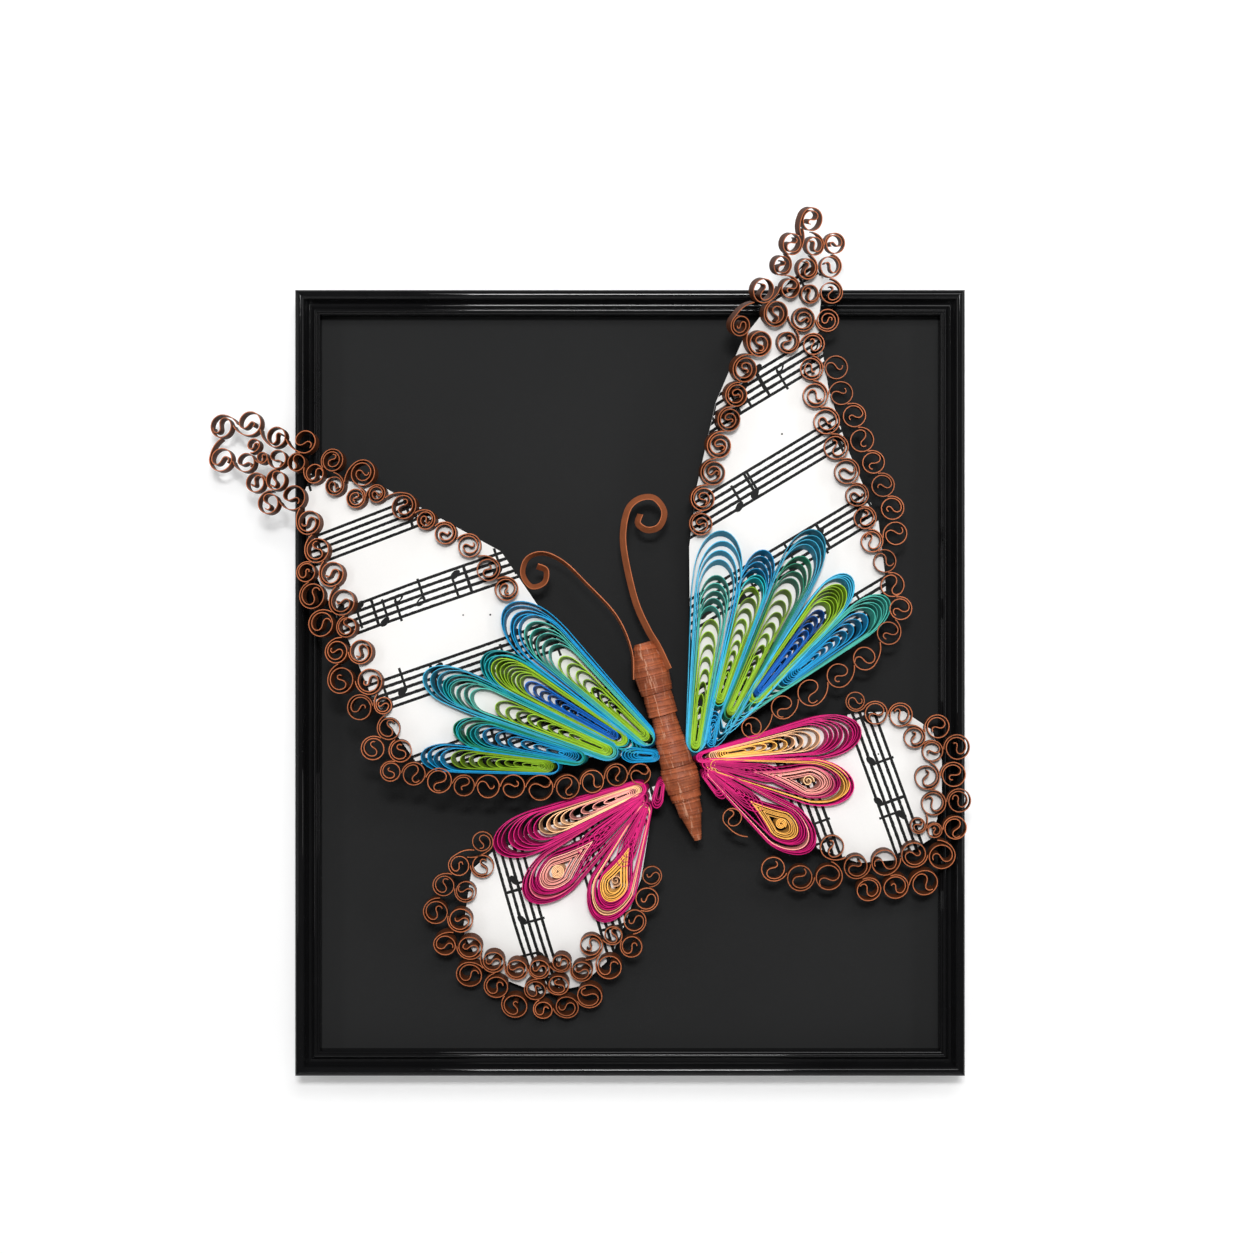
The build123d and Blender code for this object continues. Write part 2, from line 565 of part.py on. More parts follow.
petal("petal_right_hindwing_1", right_hindwing, (11.4, -5.7), (63.2, 3.1), 12.4, 1.1, (0.75, 6.2))
petal("petal_right_hindwing_2", right_hindwing, (13.3, -7.2), (60.9, -15.2), 14.2, 1.1, (0.82, 8.4))
petal("petal_right_hindwing_3", right_hindwing, (14.3, -8.6), (48.2, -34.0), 15.0, 1.1, (0.8, 8.6))
petal("petal_right_hindwing_4", right_hindwing, (13.5, -10.2), (20.2, -18.2), 2.8, 0.2)


# Body: five rolls of wound strip, end to end, over a foam block
lean = radians(body_lean)
head = Vector(pattern_origin_x + head_x, -body_depth, pattern_origin_z + head_z)
down_body = Vector(sin(lean), 0, -cos(lean))


def body_roll(name, profile):
    """A roll with flat sides: a ring of corners at each point of its profile, joined by faces."""
    towards = Vector(0, -1, 0)
    beside = down_body.cross(towards)
    turns = [2 * pi * i / roll_facets for i in range(roll_facets)]
    spokes = [towards * cos(turn) + beside * sin(turn) for turn in turns]
    rings = [[head + down_body * distance + spoke * radius for spoke in spokes]
             for distance, radius in profile]
    faces = [Face(Wire.make_polygon(rings[0])), Face(Wire.make_polygon(rings[-1]))]
    for near, far in zip(rings, rings[1:]):
        for i in range(roll_facets):
            faces.append(Face(Wire.make_polygon([near[i - 1], near[i], far[i], far[i - 1]])))
    with BuildPart() as roll:
        add(Solid(Shell(faces)))
    save(roll, name)


body_roll("body_thorax", thorax)
body_roll("body_waist", waist)
body_roll("body_upper_abdomen", upper_abdomen)
body_roll("body_lower_abdomen", lower_abdomen)
body_roll("body_tail", tail)

thickest = max(radius for distance, radius in thorax + waist + upper_abdomen + lower_abdomen)
foam_middle = body_foam_start + body_foam_length / 2
foam_spot = (head_x + foam_middle * sin(lean), head_z - foam_middle * cos(lean))
with BuildPart() as body_foam_block:
    with BuildSketch(pattern(backing_depth)):
        with Locations(Location(foam_spot, 90 + body_lean)):
            Rectangle(body_foam_length, body_foam_width)
    extrude(amount=body_height - thickest - body_gap)
save(body_foam_block, "body_foam_block")


def antenna(name, line):
    with BuildPart() as strip:
        with BuildSketch(pattern(body_depth - strip_width / 2)):
            with BuildLine():
                Polyline(strip_outline(line, strip_thickness), close=True)
            make_face()
        extrude(amount=strip_width)
    save(strip, name)


antenna("antenna_left", antenna_left)
antenna("antenna_right", antenna_right)
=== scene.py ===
"""A framed quilled butterfly: rolled and folded paper strips on bent, printed paper wings.

Blender is in metres. The butterfly's own measures are in millimetres, x to the right and z up
from a point on its pattern, and depths count forwards from the wall, as in the CAD source.
"""
import bpy
import bmesh
import numpy as np
from functools import partialmethod
from itertools import islice
from math import cos, pi, radians, sin, tan
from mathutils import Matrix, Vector


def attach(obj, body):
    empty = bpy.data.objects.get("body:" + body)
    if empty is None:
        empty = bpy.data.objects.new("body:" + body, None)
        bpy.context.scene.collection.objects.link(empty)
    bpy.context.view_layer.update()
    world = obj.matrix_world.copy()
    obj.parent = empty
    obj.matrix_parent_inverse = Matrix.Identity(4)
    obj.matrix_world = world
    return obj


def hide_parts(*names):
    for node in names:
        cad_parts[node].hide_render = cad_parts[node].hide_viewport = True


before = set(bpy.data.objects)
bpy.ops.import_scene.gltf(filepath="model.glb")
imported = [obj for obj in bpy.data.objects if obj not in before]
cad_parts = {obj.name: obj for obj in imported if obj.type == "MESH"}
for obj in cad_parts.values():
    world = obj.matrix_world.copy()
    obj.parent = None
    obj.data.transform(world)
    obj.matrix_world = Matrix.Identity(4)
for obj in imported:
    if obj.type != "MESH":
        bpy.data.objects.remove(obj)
scene = bpy.context.scene
link_object = bpy.context.collection.objects.link
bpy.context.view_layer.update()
mm = 0.001

# Camera: level and square on to the picture, as the photograph was taken.
camera_spot = (-0.00095, -0.714, -0.0812)
camera_lens = 63.3
camera = bpy.data.objects.new("camera", bpy.data.cameras.new("camera"))
camera.data.lens = camera_lens
camera.data.sensor_width = 36.0
camera.location = camera_spot
camera.rotation_euler = (radians(90), 0, 0)
link_object(camera)
scene.camera = camera
scene.view_settings.view_transform = "Standard"


# Light: a soft lamp above the camera, one behind it whose mirror images are the thin bright lines on
# the frame's beads, a weaker one on each side, and an even dim world.
picture_middle = Vector((0, 0, -0.099))
world_glow = 0.11


def lamp(name, spot, size, power):
    light = bpy.data.lights.new(name, "AREA")
    light.shape = "RECTANGLE"
    light.size, light.size_y = size
    light.energy = power
    holder = bpy.data.objects.new(name, light)
    holder.location = spot
    holder.rotation_euler = (picture_middle - Vector(spot)).to_track_quat("-Z", "Y").to_euler()
    link_object(holder)


lamp("key_light", (0.14, -1.0, 0.50), (0.6, 0.3), 3.6)
lamp("front_light", (0.0, -1.35, 0.30), (0.3, 0.15), 11.6)
lamp("left_light", (-1.0, -0.7, 0.1), (0.15, 0.9), 2.0)
lamp("right_light", (1.0, -0.6, 0.15), (0.15, 0.9), 2.4)


def node(tree, kind, inputs=(), **settings):
    """Adds a shader node. An input is (name or number, plain value, Value or output socket)."""
    made = tree.nodes.new("ShaderNode" + kind)
    for name, value in settings.items():
        setattr(made, name, value)
    for name, value in inputs:
        value = getattr(value, "socket", value)
        if isinstance(value, bpy.types.NodeSocket):
            tree.links.new(value, made.inputs[name])
        else:
            made.inputs[name].default_value = value
    return made


world = bpy.data.worlds.new("studio")
scene.world = world
world.use_nodes = True
tree = world.node_tree
tree.nodes.clear()
glow = node(tree, "Background", [("Color", (1, 1, 1, 1)), ("Strength", world_glow)])
node(tree, "OutputWorld", [("Surface", glow.outputs[0])])

# Backdrop: the white wall that the picture hangs on, which sweeps forwards into a floor. Its
# front keeps the picture's shadow, and its back is clear so that it never hides the picture.
wall_gap = 0.0004
wall_half = 3.0
floor_drop = 1.1
sweep_radius = 0.5
wall_colour = (0.82, 0.82, 0.82, 1)
wall_lift = 0.23
sweep = np.linspace(0, pi / 2, 13)
sweep_y = np.concatenate([[wall_gap], wall_gap - sweep_radius * (1 - np.cos(sweep)), [-wall_half]])
sweep_z = sweep_radius * (1 - np.sin(sweep)) - floor_drop
sweep_z = np.concatenate([[wall_half], sweep_z, [-floor_drop]])
across = np.array([-wall_half, wall_half])
grid = np.stack(np.broadcast_arrays(across, sweep_y[:, None], sweep_z[:, None]), -1)
quads = np.arange(len(sweep_y) - 1)[:, None] * 2 + np.array([2, 3, 1, 0])
backdrop_mesh = bpy.data.meshes.new("backdrop")
backdrop_mesh.from_pydata(grid.reshape(-1, 3).tolist(), [], quads.tolist())
backdrop_mesh.shade_smooth()
backdrop = bpy.data.objects.new("backdrop", backdrop_mesh)
link_object(backdrop)


class Value:
    """A number that changes over a surface. What is worked out from it becomes shader nodes."""
    def __init__(self, tree, socket):
        self.tree, self.socket = tree, socket

    def math(self, operation, *others):
        made = node(self.tree, "Math", enumerate((self, *others)), operation=operation)
        return Value(self.tree, made.outputs[0])

    __add__, __sub__ = partialmethod(math, "ADD"), partialmethod(math, "SUBTRACT")
    __mul__, __truediv__ = partialmethod(math, "MULTIPLY"), partialmethod(math, "DIVIDE")
    __lt__, __gt__ = partialmethod(math, "LESS_THAN"), partialmethod(math, "GREATER_THAN")
    __or__, __abs__ = partialmethod(math, "MAXIMUM"), partialmethod(math, "ABSOLUTE")
    floor = partialmethod(math, "FLOOR")

    def spread(self, low, high, to_low, to_high):
        """Stretches the span from low to high over another span, and holds it there."""
        made = node(self.tree, "MapRange", [("Value", self), ("From Min", low), ("From Max", high),
                                            ("To Min", to_low), ("To Max", to_high)])
        return Value(self.tree, made.outputs[0])

    def ramp(self, dark, light, low=0.0, high=1.0):
        """A colour from dark, at low, to light, at high."""
        made = node(self.tree, "ValToRGB", [("Fac", self)])
        for stop, colour, place in zip(made.color_ramp.elements, (dark, light), (low, high)):
            stop.color, stop.position = (*colour, 1), place
        return made.outputs[0]

    def bump(self, strength, distance):
        inputs = [("Strength", strength), ("Distance", distance), ("Height", self)]
        return node(self.tree, "Bump", inputs).outputs[0]


wall_white = bpy.data.materials.new("wall_white")
wall_white.use_nodes = True
tree = wall_white.node_tree
tree.nodes.clear()
ray = node(tree, "LightPath").outputs
looked_at = Value(tree, ray["Is Camera Ray"]) | ray["Is Glossy Ray"] | ray["Is Transmission Ray"]
plain = node(tree, "BsdfDiffuse", [("Color", wall_colour)]).outputs[0]
lift = node(tree, "Emission", [("Color", (1, 1, 1, 1)), ("Strength", wall_lift)]).outputs[0]
bright = node(tree, "AddShader", [(0, plain), (1, lift)]).outputs[0]
shown = node(tree, "MixShader", [(0, looked_at), (1, plain), (2, bright)]).outputs[0]
behind = node(tree, "NewGeometry").outputs["Backfacing"]
clear = node(tree, "BsdfTransparent").outputs[0]
sided = node(tree, "MixShader", [(0, behind), (1, shown), (2, clear)])
node(tree, "OutputMaterial", [("Surface", sided.outputs[0])])
backdrop_mesh.materials.append(wall_white)


# Frame: four lengths of glossy black moulded plastic with a bead along the outer edge and a
# finer one inside, mitred and glued at the corners.
frame_width = 213.0
frame_height = 250.0
rail_width = 7.8
rail_depth = 14.0
rabbet = (3.8, 7.0)
outer_bead = (3.2, 1.3)
bead_slope = (1.0, 1.4)
cove = (1.6, 0.5)
inner_bead = (1.4, 0.7)
inner_bead_drop = 1.5
edge_round = 0.25
quarter_bulge = 0.29
frame_middle_z = -99.0


def arc(start, end, bulge, count=12):
    """Points of the circle through start and end whose middle stands bulge off the chord:
    middle of the chord + (chord / 2) * sin(t) along it + radius * (cos(t) - cos(half)) across."""
    start, end = np.array(start, float), np.array(end, float)
    half_chord = np.linalg.norm(end - start) / 2
    radius = (half_chord ** 2 + bulge ** 2) / (2 * abs(bulge))
    half = np.arcsin(min(half_chord / radius, 1.0))
    turned = np.linspace(-half, half, count)
    along = (end - start) / (2 * half_chord)
    off = np.array([-along[1], along[0]]) * np.sign(bulge)
    return ((start + end) / 2 + np.outer(radius * np.sin(turned), along)
            + np.outer(radius * (np.cos(turned) - np.cos(half)), off))


def rail_profile():
    """The moulding's section: distance in from the outer edge, and depth from the wall."""
    bead_foot = rail_depth - outer_bead[1]
    slope_end = outer_bead[0] + bead_slope[0]
    slope_foot = bead_foot - bead_slope[1]
    inner_foot = rail_depth - inner_bead_drop
    cove_end = slope_end + cove[0]
    bead_end = cove_end + inner_bead[0]
    return np.concatenate([
        arc((edge_round, 0), (0, edge_round), quarter_bulge * edge_round, 4),
        arc((0, bead_foot), (outer_bead[0], bead_foot), outer_bead[1], 22),
        [(slope_end - 0.1, slope_foot + 0.14)],
        arc((slope_end, slope_foot), (cove_end, inner_foot), -cove[1], 12),
        arc((cove_end + 0.02, inner_foot), (bead_end, inner_foot), inner_bead[1], 14),
        arc((bead_end + 0.15, inner_foot - 0.1), (rail_width, inner_foot - 0.6), 0.12, 6),
        [(rail_width, rabbet[1]), (rail_width - rabbet[0], rabbet[1]), (rail_width - rabbet[0], 0)]])


def closed_mesh(name, corners, faces, sharp_angle, turn=True):
    """A smooth mesh from corners in millimetres. Turned, its faces look outward."""
    mesh = bpy.data.meshes.new(name)
    mesh.from_pydata((corners * mm).tolist(), [], faces)
    if turn:
        shell = bmesh.new()
        shell.from_mesh(mesh)
        bmesh.ops.recalc_face_normals(shell, faces=shell.faces)
        shell.to_mesh(mesh)
        shell.free()
    mesh.shade_smooth()
    mesh.set_sharp_from_angle(angle=radians(sharp_angle))
    return mesh


def add_piece(name, mesh, material, node_name):
    """Puts a finished mesh, whose place is already in it, into the scene for a CAD node."""
    mesh.materials.append(material)
    piece = bpy.data.objects.new(name, mesh)
    link_object(piece)
    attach(piece, "root")
    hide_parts(node_name)


def new_material(name):
    """An empty material with its nodes and the place on the object, for textures."""
    material = bpy.data.materials.new(name)
    material.use_nodes = True
    tree = material.node_tree
    tree.nodes.clear()
    return material, tree, node(tree, "TexCoord").outputs["Object"]


def noise(tree, place, scale, detail, **more):
    """Cloudy noise about 0.5. A scale of three numbers stretches it."""
    if isinstance(scale, tuple):
        place, scale = node(tree, "Mapping", [("Vector", place), ("Scale", scale)]).outputs[0], 1.0
    inputs = [("Vector", place), ("Scale", scale), ("Detail", detail), *more.items()]
    return Value(tree, node(tree, "TexNoise", inputs).outputs["Fac"])


def finish(tree, inputs):
    shader = node(tree, "BsdfPrincipled", inputs)
    node(tree, "OutputMaterial", [("Surface", shader.outputs[0])])


frame_black, tree, place = new_material("frame_gloss_black")
haze = noise(tree, place, 60.0, 5.0, Roughness=0.6)
specks = noise(tree, place, 900.0, 3.0).spread(0.62, 0.8, 0.0, 0.08)
finish(tree, [("Base Color", haze.ramp((0.0035, 0.0035, 0.0038), (0.008, 0.008, 0.0085))),
              ("Roughness", haze.spread(0.3, 0.75, 0.04, 0.06) + specks), ("IOR", 1.46),
              ("Specular IOR Level", 0.2), ("Coat Weight", 0.05), ("Coat Roughness", 0.03),
              ("Normal", haze.bump(0.008, 0.0002))])

profile = rail_profile()
count = len(profile)
ring = np.arange(count)
sides = np.stack([ring, (ring + 1) % count, (ring + 1) % count + count, ring + count], -1)
rail_faces = sides.tolist() + [ring[::-1].tolist(), (ring + count).tolist()]
for name, inward in (("bottom", (0, 0, 1)), ("top", (0, 0, -1)), ("left", (1, 0, 0)), ("right", (-1, 0, 0))):
    inward = np.array(inward, float)
    length, reach = (frame_width, frame_height) if inward[2] else (frame_height, frame_width)
    along = np.array([inward[2], 0, -inward[0]])
    outer_edge = np.array([0, 0, frame_middle_z]) - inward * reach / 2
    section = outer_edge + profile[:, :1] * inward - profile[:, 1:] * np.array([0, 1, 0])
    mitre = (length / 2 - profile[:, :1]) * along
    mesh = closed_mesh("frame_moulding_" + name, np.concatenate([section - mitre, section + mitre]),
                       rail_faces, 28)
    add_piece("frame_moulding_" + name, mesh, frame_black, "frame_rail_" + name)


# Backing card: matte charcoal card behind the butterfly, held in the frame's rabbet.
def new_group(name, inputs, outputs):
    """A node group of numbers, but for its first input, which is a place. Gives the group and
    the sockets of what it's given."""
    group = bpy.data.node_groups.new(name, "ShaderNodeTree")
    for i, socket in enumerate(inputs):
        kind = "NodeSocketFloat" if i else "NodeSocketVector"
        group.interface.new_socket(socket, in_out="INPUT", socket_type=kind)
    for socket in outputs:
        group.interface.new_socket(socket, in_out="OUTPUT", socket_type="NodeSocketFloat")
    return group, group.nodes.new("NodeGroupInput").outputs


def put_out(group, **values):
    result = group.nodes.new("NodeGroupOutput")
    for name, value in values.items():
        group.links.new(value.socket, result.inputs[name])


# Grain of paper and board: soft cloudy shade plus fine fibres. Shade is near 1, and Height goes to
# a bump. Cloud and Fibre are the sizes, in waves per metre, and Depth is how strong.
paper_grain, given = new_group("paper_grain", ("Vector", "Cloud", "Fibre", "Depth"), ("Shade", "Height"))
cloud = noise(paper_grain, given["Vector"], given["Cloud"], 3.0)
fibre = noise(paper_grain, given["Vector"], given["Fibre"], 4.0, Roughness=0.7, Distortion=0.4)
put_out(paper_grain, Shade=(cloud + fibre - 1.0).math("MULTIPLY_ADD", given["Depth"], 1.0), Height=fibre)


def shaded(tree, colour, shade):
    return node(tree, "VectorMath", [(0, colour), ("Scale", shade)], operation="SCALE").outputs[0]


def finish_paper(tree, colour, place, cloud, fibre, depth, roughness, bump, specular=0.5):
    """A paper or board: its colour times the grain's shade, with the grain as bump."""
    grain = node(tree, "Group", [("Vector", place), ("Cloud", cloud), ("Fibre", fibre), ("Depth", depth)],
                 node_tree=paper_grain).outputs
    height = Value(tree, grain["Height"])
    finish(tree, [("Base Color", shaded(tree, colour, grain["Shade"])),
                  ("Roughness", height.spread(0.0, 1.0, roughness - 0.1, roughness + 0.1)),
                  ("Specular IOR Level", specular), ("Normal", height.bump(bump, 0.0001))])


def plain_paper(name, colour, *look):
    material, tree, place = new_material(name)
    finish_paper(tree, colour, place, *look)
    return material


def dress(node_name, material):
    """Gives its finish to a CAD piece whose shape is right."""
    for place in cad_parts[node_name].material_slots:
        place.material = material


dress("backing_card", plain_paper("charcoal_card", (0.0150, 0.0153, 0.0156), 14.0, 1500.0, 0.34, 0.78,
                                  0.35, 0.15))

# Back board, points and hanger: brown fibre board held by flat steel points, with a toothed
# hanger of zinc-plated steel pressed into it by its prongs.
dress("back_board", plain_paper("fibre_board", (0.27, 0.19, 0.125), 40.0, 900.0, 0.5, 0.85, 0.6))
zinc_steel, tree, place = new_material("zinc_steel")
drawn = noise(tree, place, (80.0, 900.0, 900.0), 4.0)
finish(tree, [("Base Color", drawn.ramp((0.42, 0.41, 0.39), (0.62, 0.61, 0.58))), ("Metallic", 1.0),
              ("Roughness", drawn.spread(0.0, 1.0, 0.22, 0.5)), ("Normal", drawn.bump(0.2, 0.00005))])
dress("frame_points", zinc_steel)
dress("sawtooth_hanger", zinc_steel)

# Foam blocks: white closed-cell foam under the wings and the body, stuck to the backing card.
white_foam = plain_paper("white_foam", (0.66, 0.66, 0.64), 200.0, 2600.0, 0.25, 0.9, 0.9)
for name in ("foam_pad_left_forewing", "foam_pad_right_forewing", "foam_pad_left_hindwing",
             "foam_pad_right_hindwing", "body_foam_block"):
    dress(name, white_foam)

# Wing cards: four pieces of white paper printed with black staves, each bent about one line.
# They stand off the backing card on their foam blocks.
pattern_right = 9.5
pattern_down = 17.8
backing_depth = 7.0
root_height = 10.5
card_thickness = 0.3
rim_step = 1.2
sheet_rings = 34
pattern_middle = np.array([pattern_right, 0, frame_middle_z - pattern_down])


class Wing:
    """A card that leaves its root at one slope and bends round a radius to another. Along its
    direction, sin(angle) = sin(slope) + distance past the bend's start / radius."""
    def __init__(self, root, direction, slope, bend_start, bend_radius, end_slope):
        self.root = np.array(root, float)
        self.out = np.array([cos(radians(direction)), sin(radians(direction))])
        self.slope, self.end_slope = radians(slope), radians(end_slope)
        self.bend_start, self.bend_radius = bend_start, bend_radius
        self.turn = 1 if end_slope > slope else -1
        self.bend_length = bend_radius * abs(sin(self.end_slope) - sin(self.slope))

    def stand(self, spots):
        """Front points of the card at pattern (x, z) spots, its normals, and its paper measure
        along the bend."""
        distance = (spots - self.root) @ self.out
        bent = np.clip(distance - self.bend_start, 0, self.bend_length)
        angle = np.arcsin(sin(self.slope) + self.turn * bent / self.bend_radius)
        flat = np.minimum(distance, self.bend_start)
        beyond = np.maximum(distance - self.bend_start - self.bend_length, 0)
        rise = (flat * tan(self.slope) + beyond * tan(self.end_slope)
                + self.turn * self.bend_radius * (cos(self.slope) - np.cos(angle)))
        paper = (flat / cos(self.slope) + beyond / cos(self.end_slope)
                 + self.turn * self.bend_radius * (angle - self.slope))
        point = np.stack([spots[..., 0], -(backing_depth + root_height + rise), spots[..., 1]], -1)
        out = np.array([self.out[0], 0, self.out[1]])
        normal = -np.cos(angle)[..., None] * np.array([0, 1, 0]) - np.sin(angle)[..., None] * out
        return point + pattern_middle, normal, paper

    def foot(self, spot, radius=0.0):
        """The card's flat tangent at a spot: origin, right, up and normal, lifted where it curls up."""
        spot = np.array(spot, float)
        point, normal, paper = self.stand(spot)
        distance = (spot - self.root) @ self.out
        near = self.bend_start - radius < distance < self.bend_start + self.bend_length + radius
        lift = radius ** 2 / (2 * self.bend_radius) if self.turn > 0 and near else 0.0
        right = np.array([1, 0, 0]) - normal * normal[0]
        right /= np.linalg.norm(right)
        return point + normal * lift, right, np.cross(normal, right), normal


wings = {"left_forewing": Wing((-1.6, -4.7), 152.4, 10, 69.5, 60, -16),
         "right_forewing": Wing((12.6, -3.8), 150.2, 0, 32.8, 40, 28),
         "left_hindwing": Wing((-1.3, -14.5), 258.5, 0, 45, 50, -18),
         "right_hindwing": Wing((12.0, -6.0), 285.0, 0, 38, 50, -16)}

# The print is drawn on the paper's own measure, in millimetres: staves of five lines, bars,
# notes with stems, and specks of ink. Each mark is a distance held under its half width.
stave_pitch = 25.5
line_pitch = 2.2
line_half = 0.5
below_stave = 7.0
bar_pitch = 31.0
bar_half = 0.48
bar_shift = 11.3
note_pitch = 6.4
note_share = 0.55
note_half = (1.7, 1.12)
stem_half = 0.4
stem_middle = 3.6
stem_half_length = 3.5


def axes(tree, place):
    return [Value(tree, axis) for axis in node(tree, "SeparateXYZ", [(0, place)]).outputs]


def mixed(tree, share, first, second):
    inputs = [("Factor", share), ("A", first), ("B", second)]
    return node(tree, "Mix", inputs, data_type="RGBA").outputs["Result"]


music_print, given = new_group("music_print", ("Paper",), ("Ink",))
along, up, off = axes(music_print, given["Paper"])
shaky = noise(music_print, given["Paper"], 0.9, 2.0).math("MULTIPLY_ADD", 0.3, -0.15)
row = ((up + below_stave) / stave_pitch).floor()
height = up - row * stave_pitch
off_middle = abs(height - 2 * line_pitch)
# Five lines: the distance to the nearest, kept between the first and the last
off_line = (height + shaky).math("PINGPONG", line_pitch / 2)
lines = (off_line < line_half) * (off_middle < 2.2 * line_pitch)
# Bars, shifted from stave to stave
shifted = along + row * bar_shift
off_bar = (shifted + shaky).math("PINGPONG", bar_pitch / 2)
bars = (off_bar < bar_half) * (off_middle < 2.1 * line_pitch)
# Notes: one cell after another along the stave, each with its own pitch
cell = (shifted / note_pitch).floor()
spot = node(music_print, "CombineXYZ", [(0, cell), (1, row)]).outputs[0]
chance = node(music_print, "TexWhiteNoise", [("Vector", spot)], noise_dimensions="2D").outputs["Color"]
rolls = node(music_print, "SeparateColor", [(0, chance)]).outputs
pitch, present, hollow = (Value(music_print, roll) for roll in rolls)
beside = shifted - cell * note_pitch - note_pitch / 2
step = (pitch * 9.0).floor() * (line_pitch / 2)
over = height - (step + 0.4)
lean = over - beside * 0.35
oval = ((beside / note_half[0]).math("POWER", 2.0) + (lean / note_half[1]).math("POWER", 2.0)).math("SQRT")
heads = (oval + shaky < 1.0) - (hollow > 0.78) * (oval < 0.5)
stem_way = (step < 2 * line_pitch) * 2.0 - 1.0
off_stem = abs(beside + shaky * 0.6 - stem_way * 1.2)
stems = (off_stem < stem_half) * (abs(over * stem_way - stem_middle) < stem_half_length)
notes = (heads | stems) * (present < note_share)
spots = node(music_print, "TexVoronoi", [("Vector", given["Paper"]), ("Scale", 0.11), ("Randomness", 1.0)])
specks = Value(music_print, spots.outputs["Distance"]) < 0.035
put_out(music_print, Ink=lines | bars | notes | specks)

music_paper, tree, place = new_material("printed_music_paper")
paper_uv = node(tree, "UVMap", uv_map="paper").outputs[0]
ink = Value(tree, node(tree, "Group", [("Paper", paper_uv)], node_tree=music_print).outputs["Ink"])
ink = ink * node(tree, "Attribute", attribute_name="front").outputs["Fac"]
finish_paper(tree, mixed(tree, ink, (0.90, 0.885, 0.865, 1), (0.006, 0.006, 0.006, 1)), place, 60.0, 1800.0,
             0.06, 0.62, 0.12, 0.2)


def add_uv(mesh, name, marks):
    """Gives each corner of each face its vertex's pair of marks."""
    corner_of = np.empty(len(mesh.loops), int)
    mesh.loops.foreach_get("vertex_index", corner_of)
    mesh.uv_layers.new(name=name).data.foreach_set("uv", marks[corner_of].ravel())


def wing_paper(side, pair, middle, stave_angle, stave_shift, outline):
    """The sheet inside its outline: point = middle + share * (rim - middle), put on the bent card,
    with a second sheet behind it and a rim between them. The print's measure is the paper's own."""
    name, wing = f"{pair}_card_{side}", wings[f"{side}_{pair}"]
    corners = np.array(outline, float)
    ends = np.roll(corners, -1, 0)
    counts = np.maximum((np.linalg.norm(ends - corners, axis=1) / rim_step).astype(int), 1)
    rim = np.concatenate([start + (end - start) * np.arange(n)[:, None] / n
                          for start, end, n in zip(corners, ends, counts)])
    around = len(rim)
    share = np.linspace(0, 1, sheet_rings + 1)[1:]
    middle = np.array(middle, float)
    spots = np.concatenate([[middle], (middle + share[:, None, None] * (rim - middle)).reshape(-1, 2)])
    point, normal, paper = wing.stand(spots)
    sheet = len(spots)
    i = np.arange(around)
    j = (i + 1) % around
    ring = (np.arange(sheet_rings - 1) * around)[:, None]
    quads = np.stack([ring + i, ring + j, ring + around + j, ring + around + i], -1).reshape(-1, 4) + 1
    last = (sheet_rings - 1) * around + 1
    edge = np.stack([last + i, last + j, last + j + sheet, last + i + sheet], -1)
    fan = np.stack([np.zeros_like(i), j + 1, i + 1], -1)
    faces = (quads.tolist() + (quads[:, ::-1] + sheet).tolist() + edge.tolist()
             + fan[:, ::-1].tolist() + (fan + sheet).tolist())
    mesh = closed_mesh(name, np.concatenate([point, point - normal * card_thickness]), faces, 50)
    across = np.array([-wing.out[1], wing.out[0]])
    measure = paper[:, None] * wing.out + ((spots - wing.root) @ across)[:, None] * across
    turn = radians(stave_angle)
    measure = measure @ np.array([[cos(turn), -sin(turn)], [sin(turn), cos(turn)]]) + stave_shift
    add_uv(mesh, "paper", np.concatenate([measure, measure]))
    front = np.repeat([1.0, 0.0], sheet)
    mesh.attributes.new("front", "FLOAT", "POINT").data.foreach_set("value", front)
    add_piece(name + "_paper", mesh, music_paper, name)


wing_paper("left", "forewing", (-66, 30), 19, (4.0, 9.0), [
    (-1.6, -4.7), (-17, 18.5), (-36.3, 39.5), (-49.5, 59), (-86, 79), (-110.5, 84), (-112.5, 78),
    (-111, 57), (-97, 31), (-89, 12.5), (-75.5, -7)])
wing_paper("right", "forewing", (36, 76), 31, (2.0, 17.0), [
    (12.6, -3.8), (9.4, 38), (9.2, 61), (11.6, 80), (17.5, 106), (26.3, 126.5), (46.0, 151), (51.5, 146),
    (50.0, 131), (53.2, 111), (59.0, 92.5), (69.0, 69), (71.0, 53), (71.5, 44.5), (38, 14.5)])
wing_paper("left", "hindwing", (-34, -52), -74, (3.0, 4.0), [
    (-1.3, -14.5), (-50, -33), (-59.5, -41), (-62.5, -61), (-58, -70), (-50, -76.5), (-37.5, -81.5),
    (-25, -78.5), (-15.5, -69), (-11, -58), (-6, -44)])
wing_paper("right", "hindwing", (60, -15), -70, (6.0, 2.5), [
    (12.0, -6.0), (61.5, 8.5), (77, 9), (86, 3), (89, -6.5), (89, -19), (86, -31), (75.5, -38), (63, -39),
    (50, -34.5)])


# Scrolls: strips of copper-brown paper on edge round the wings. Each reaches out from the scroll
# that it's glued to, runs round into a ring, and turns back through the middle in a small hook.
strip_width = 3.2
strip_gap = 0.12
scroll_thickness = 0.28
longest_tail = 2.4
tail_turn = 1.35
even_closing = 0.07
late_closing = 0.30
closing_start = 0.8
hook_steps = 12
rng = np.random.default_rng(7)


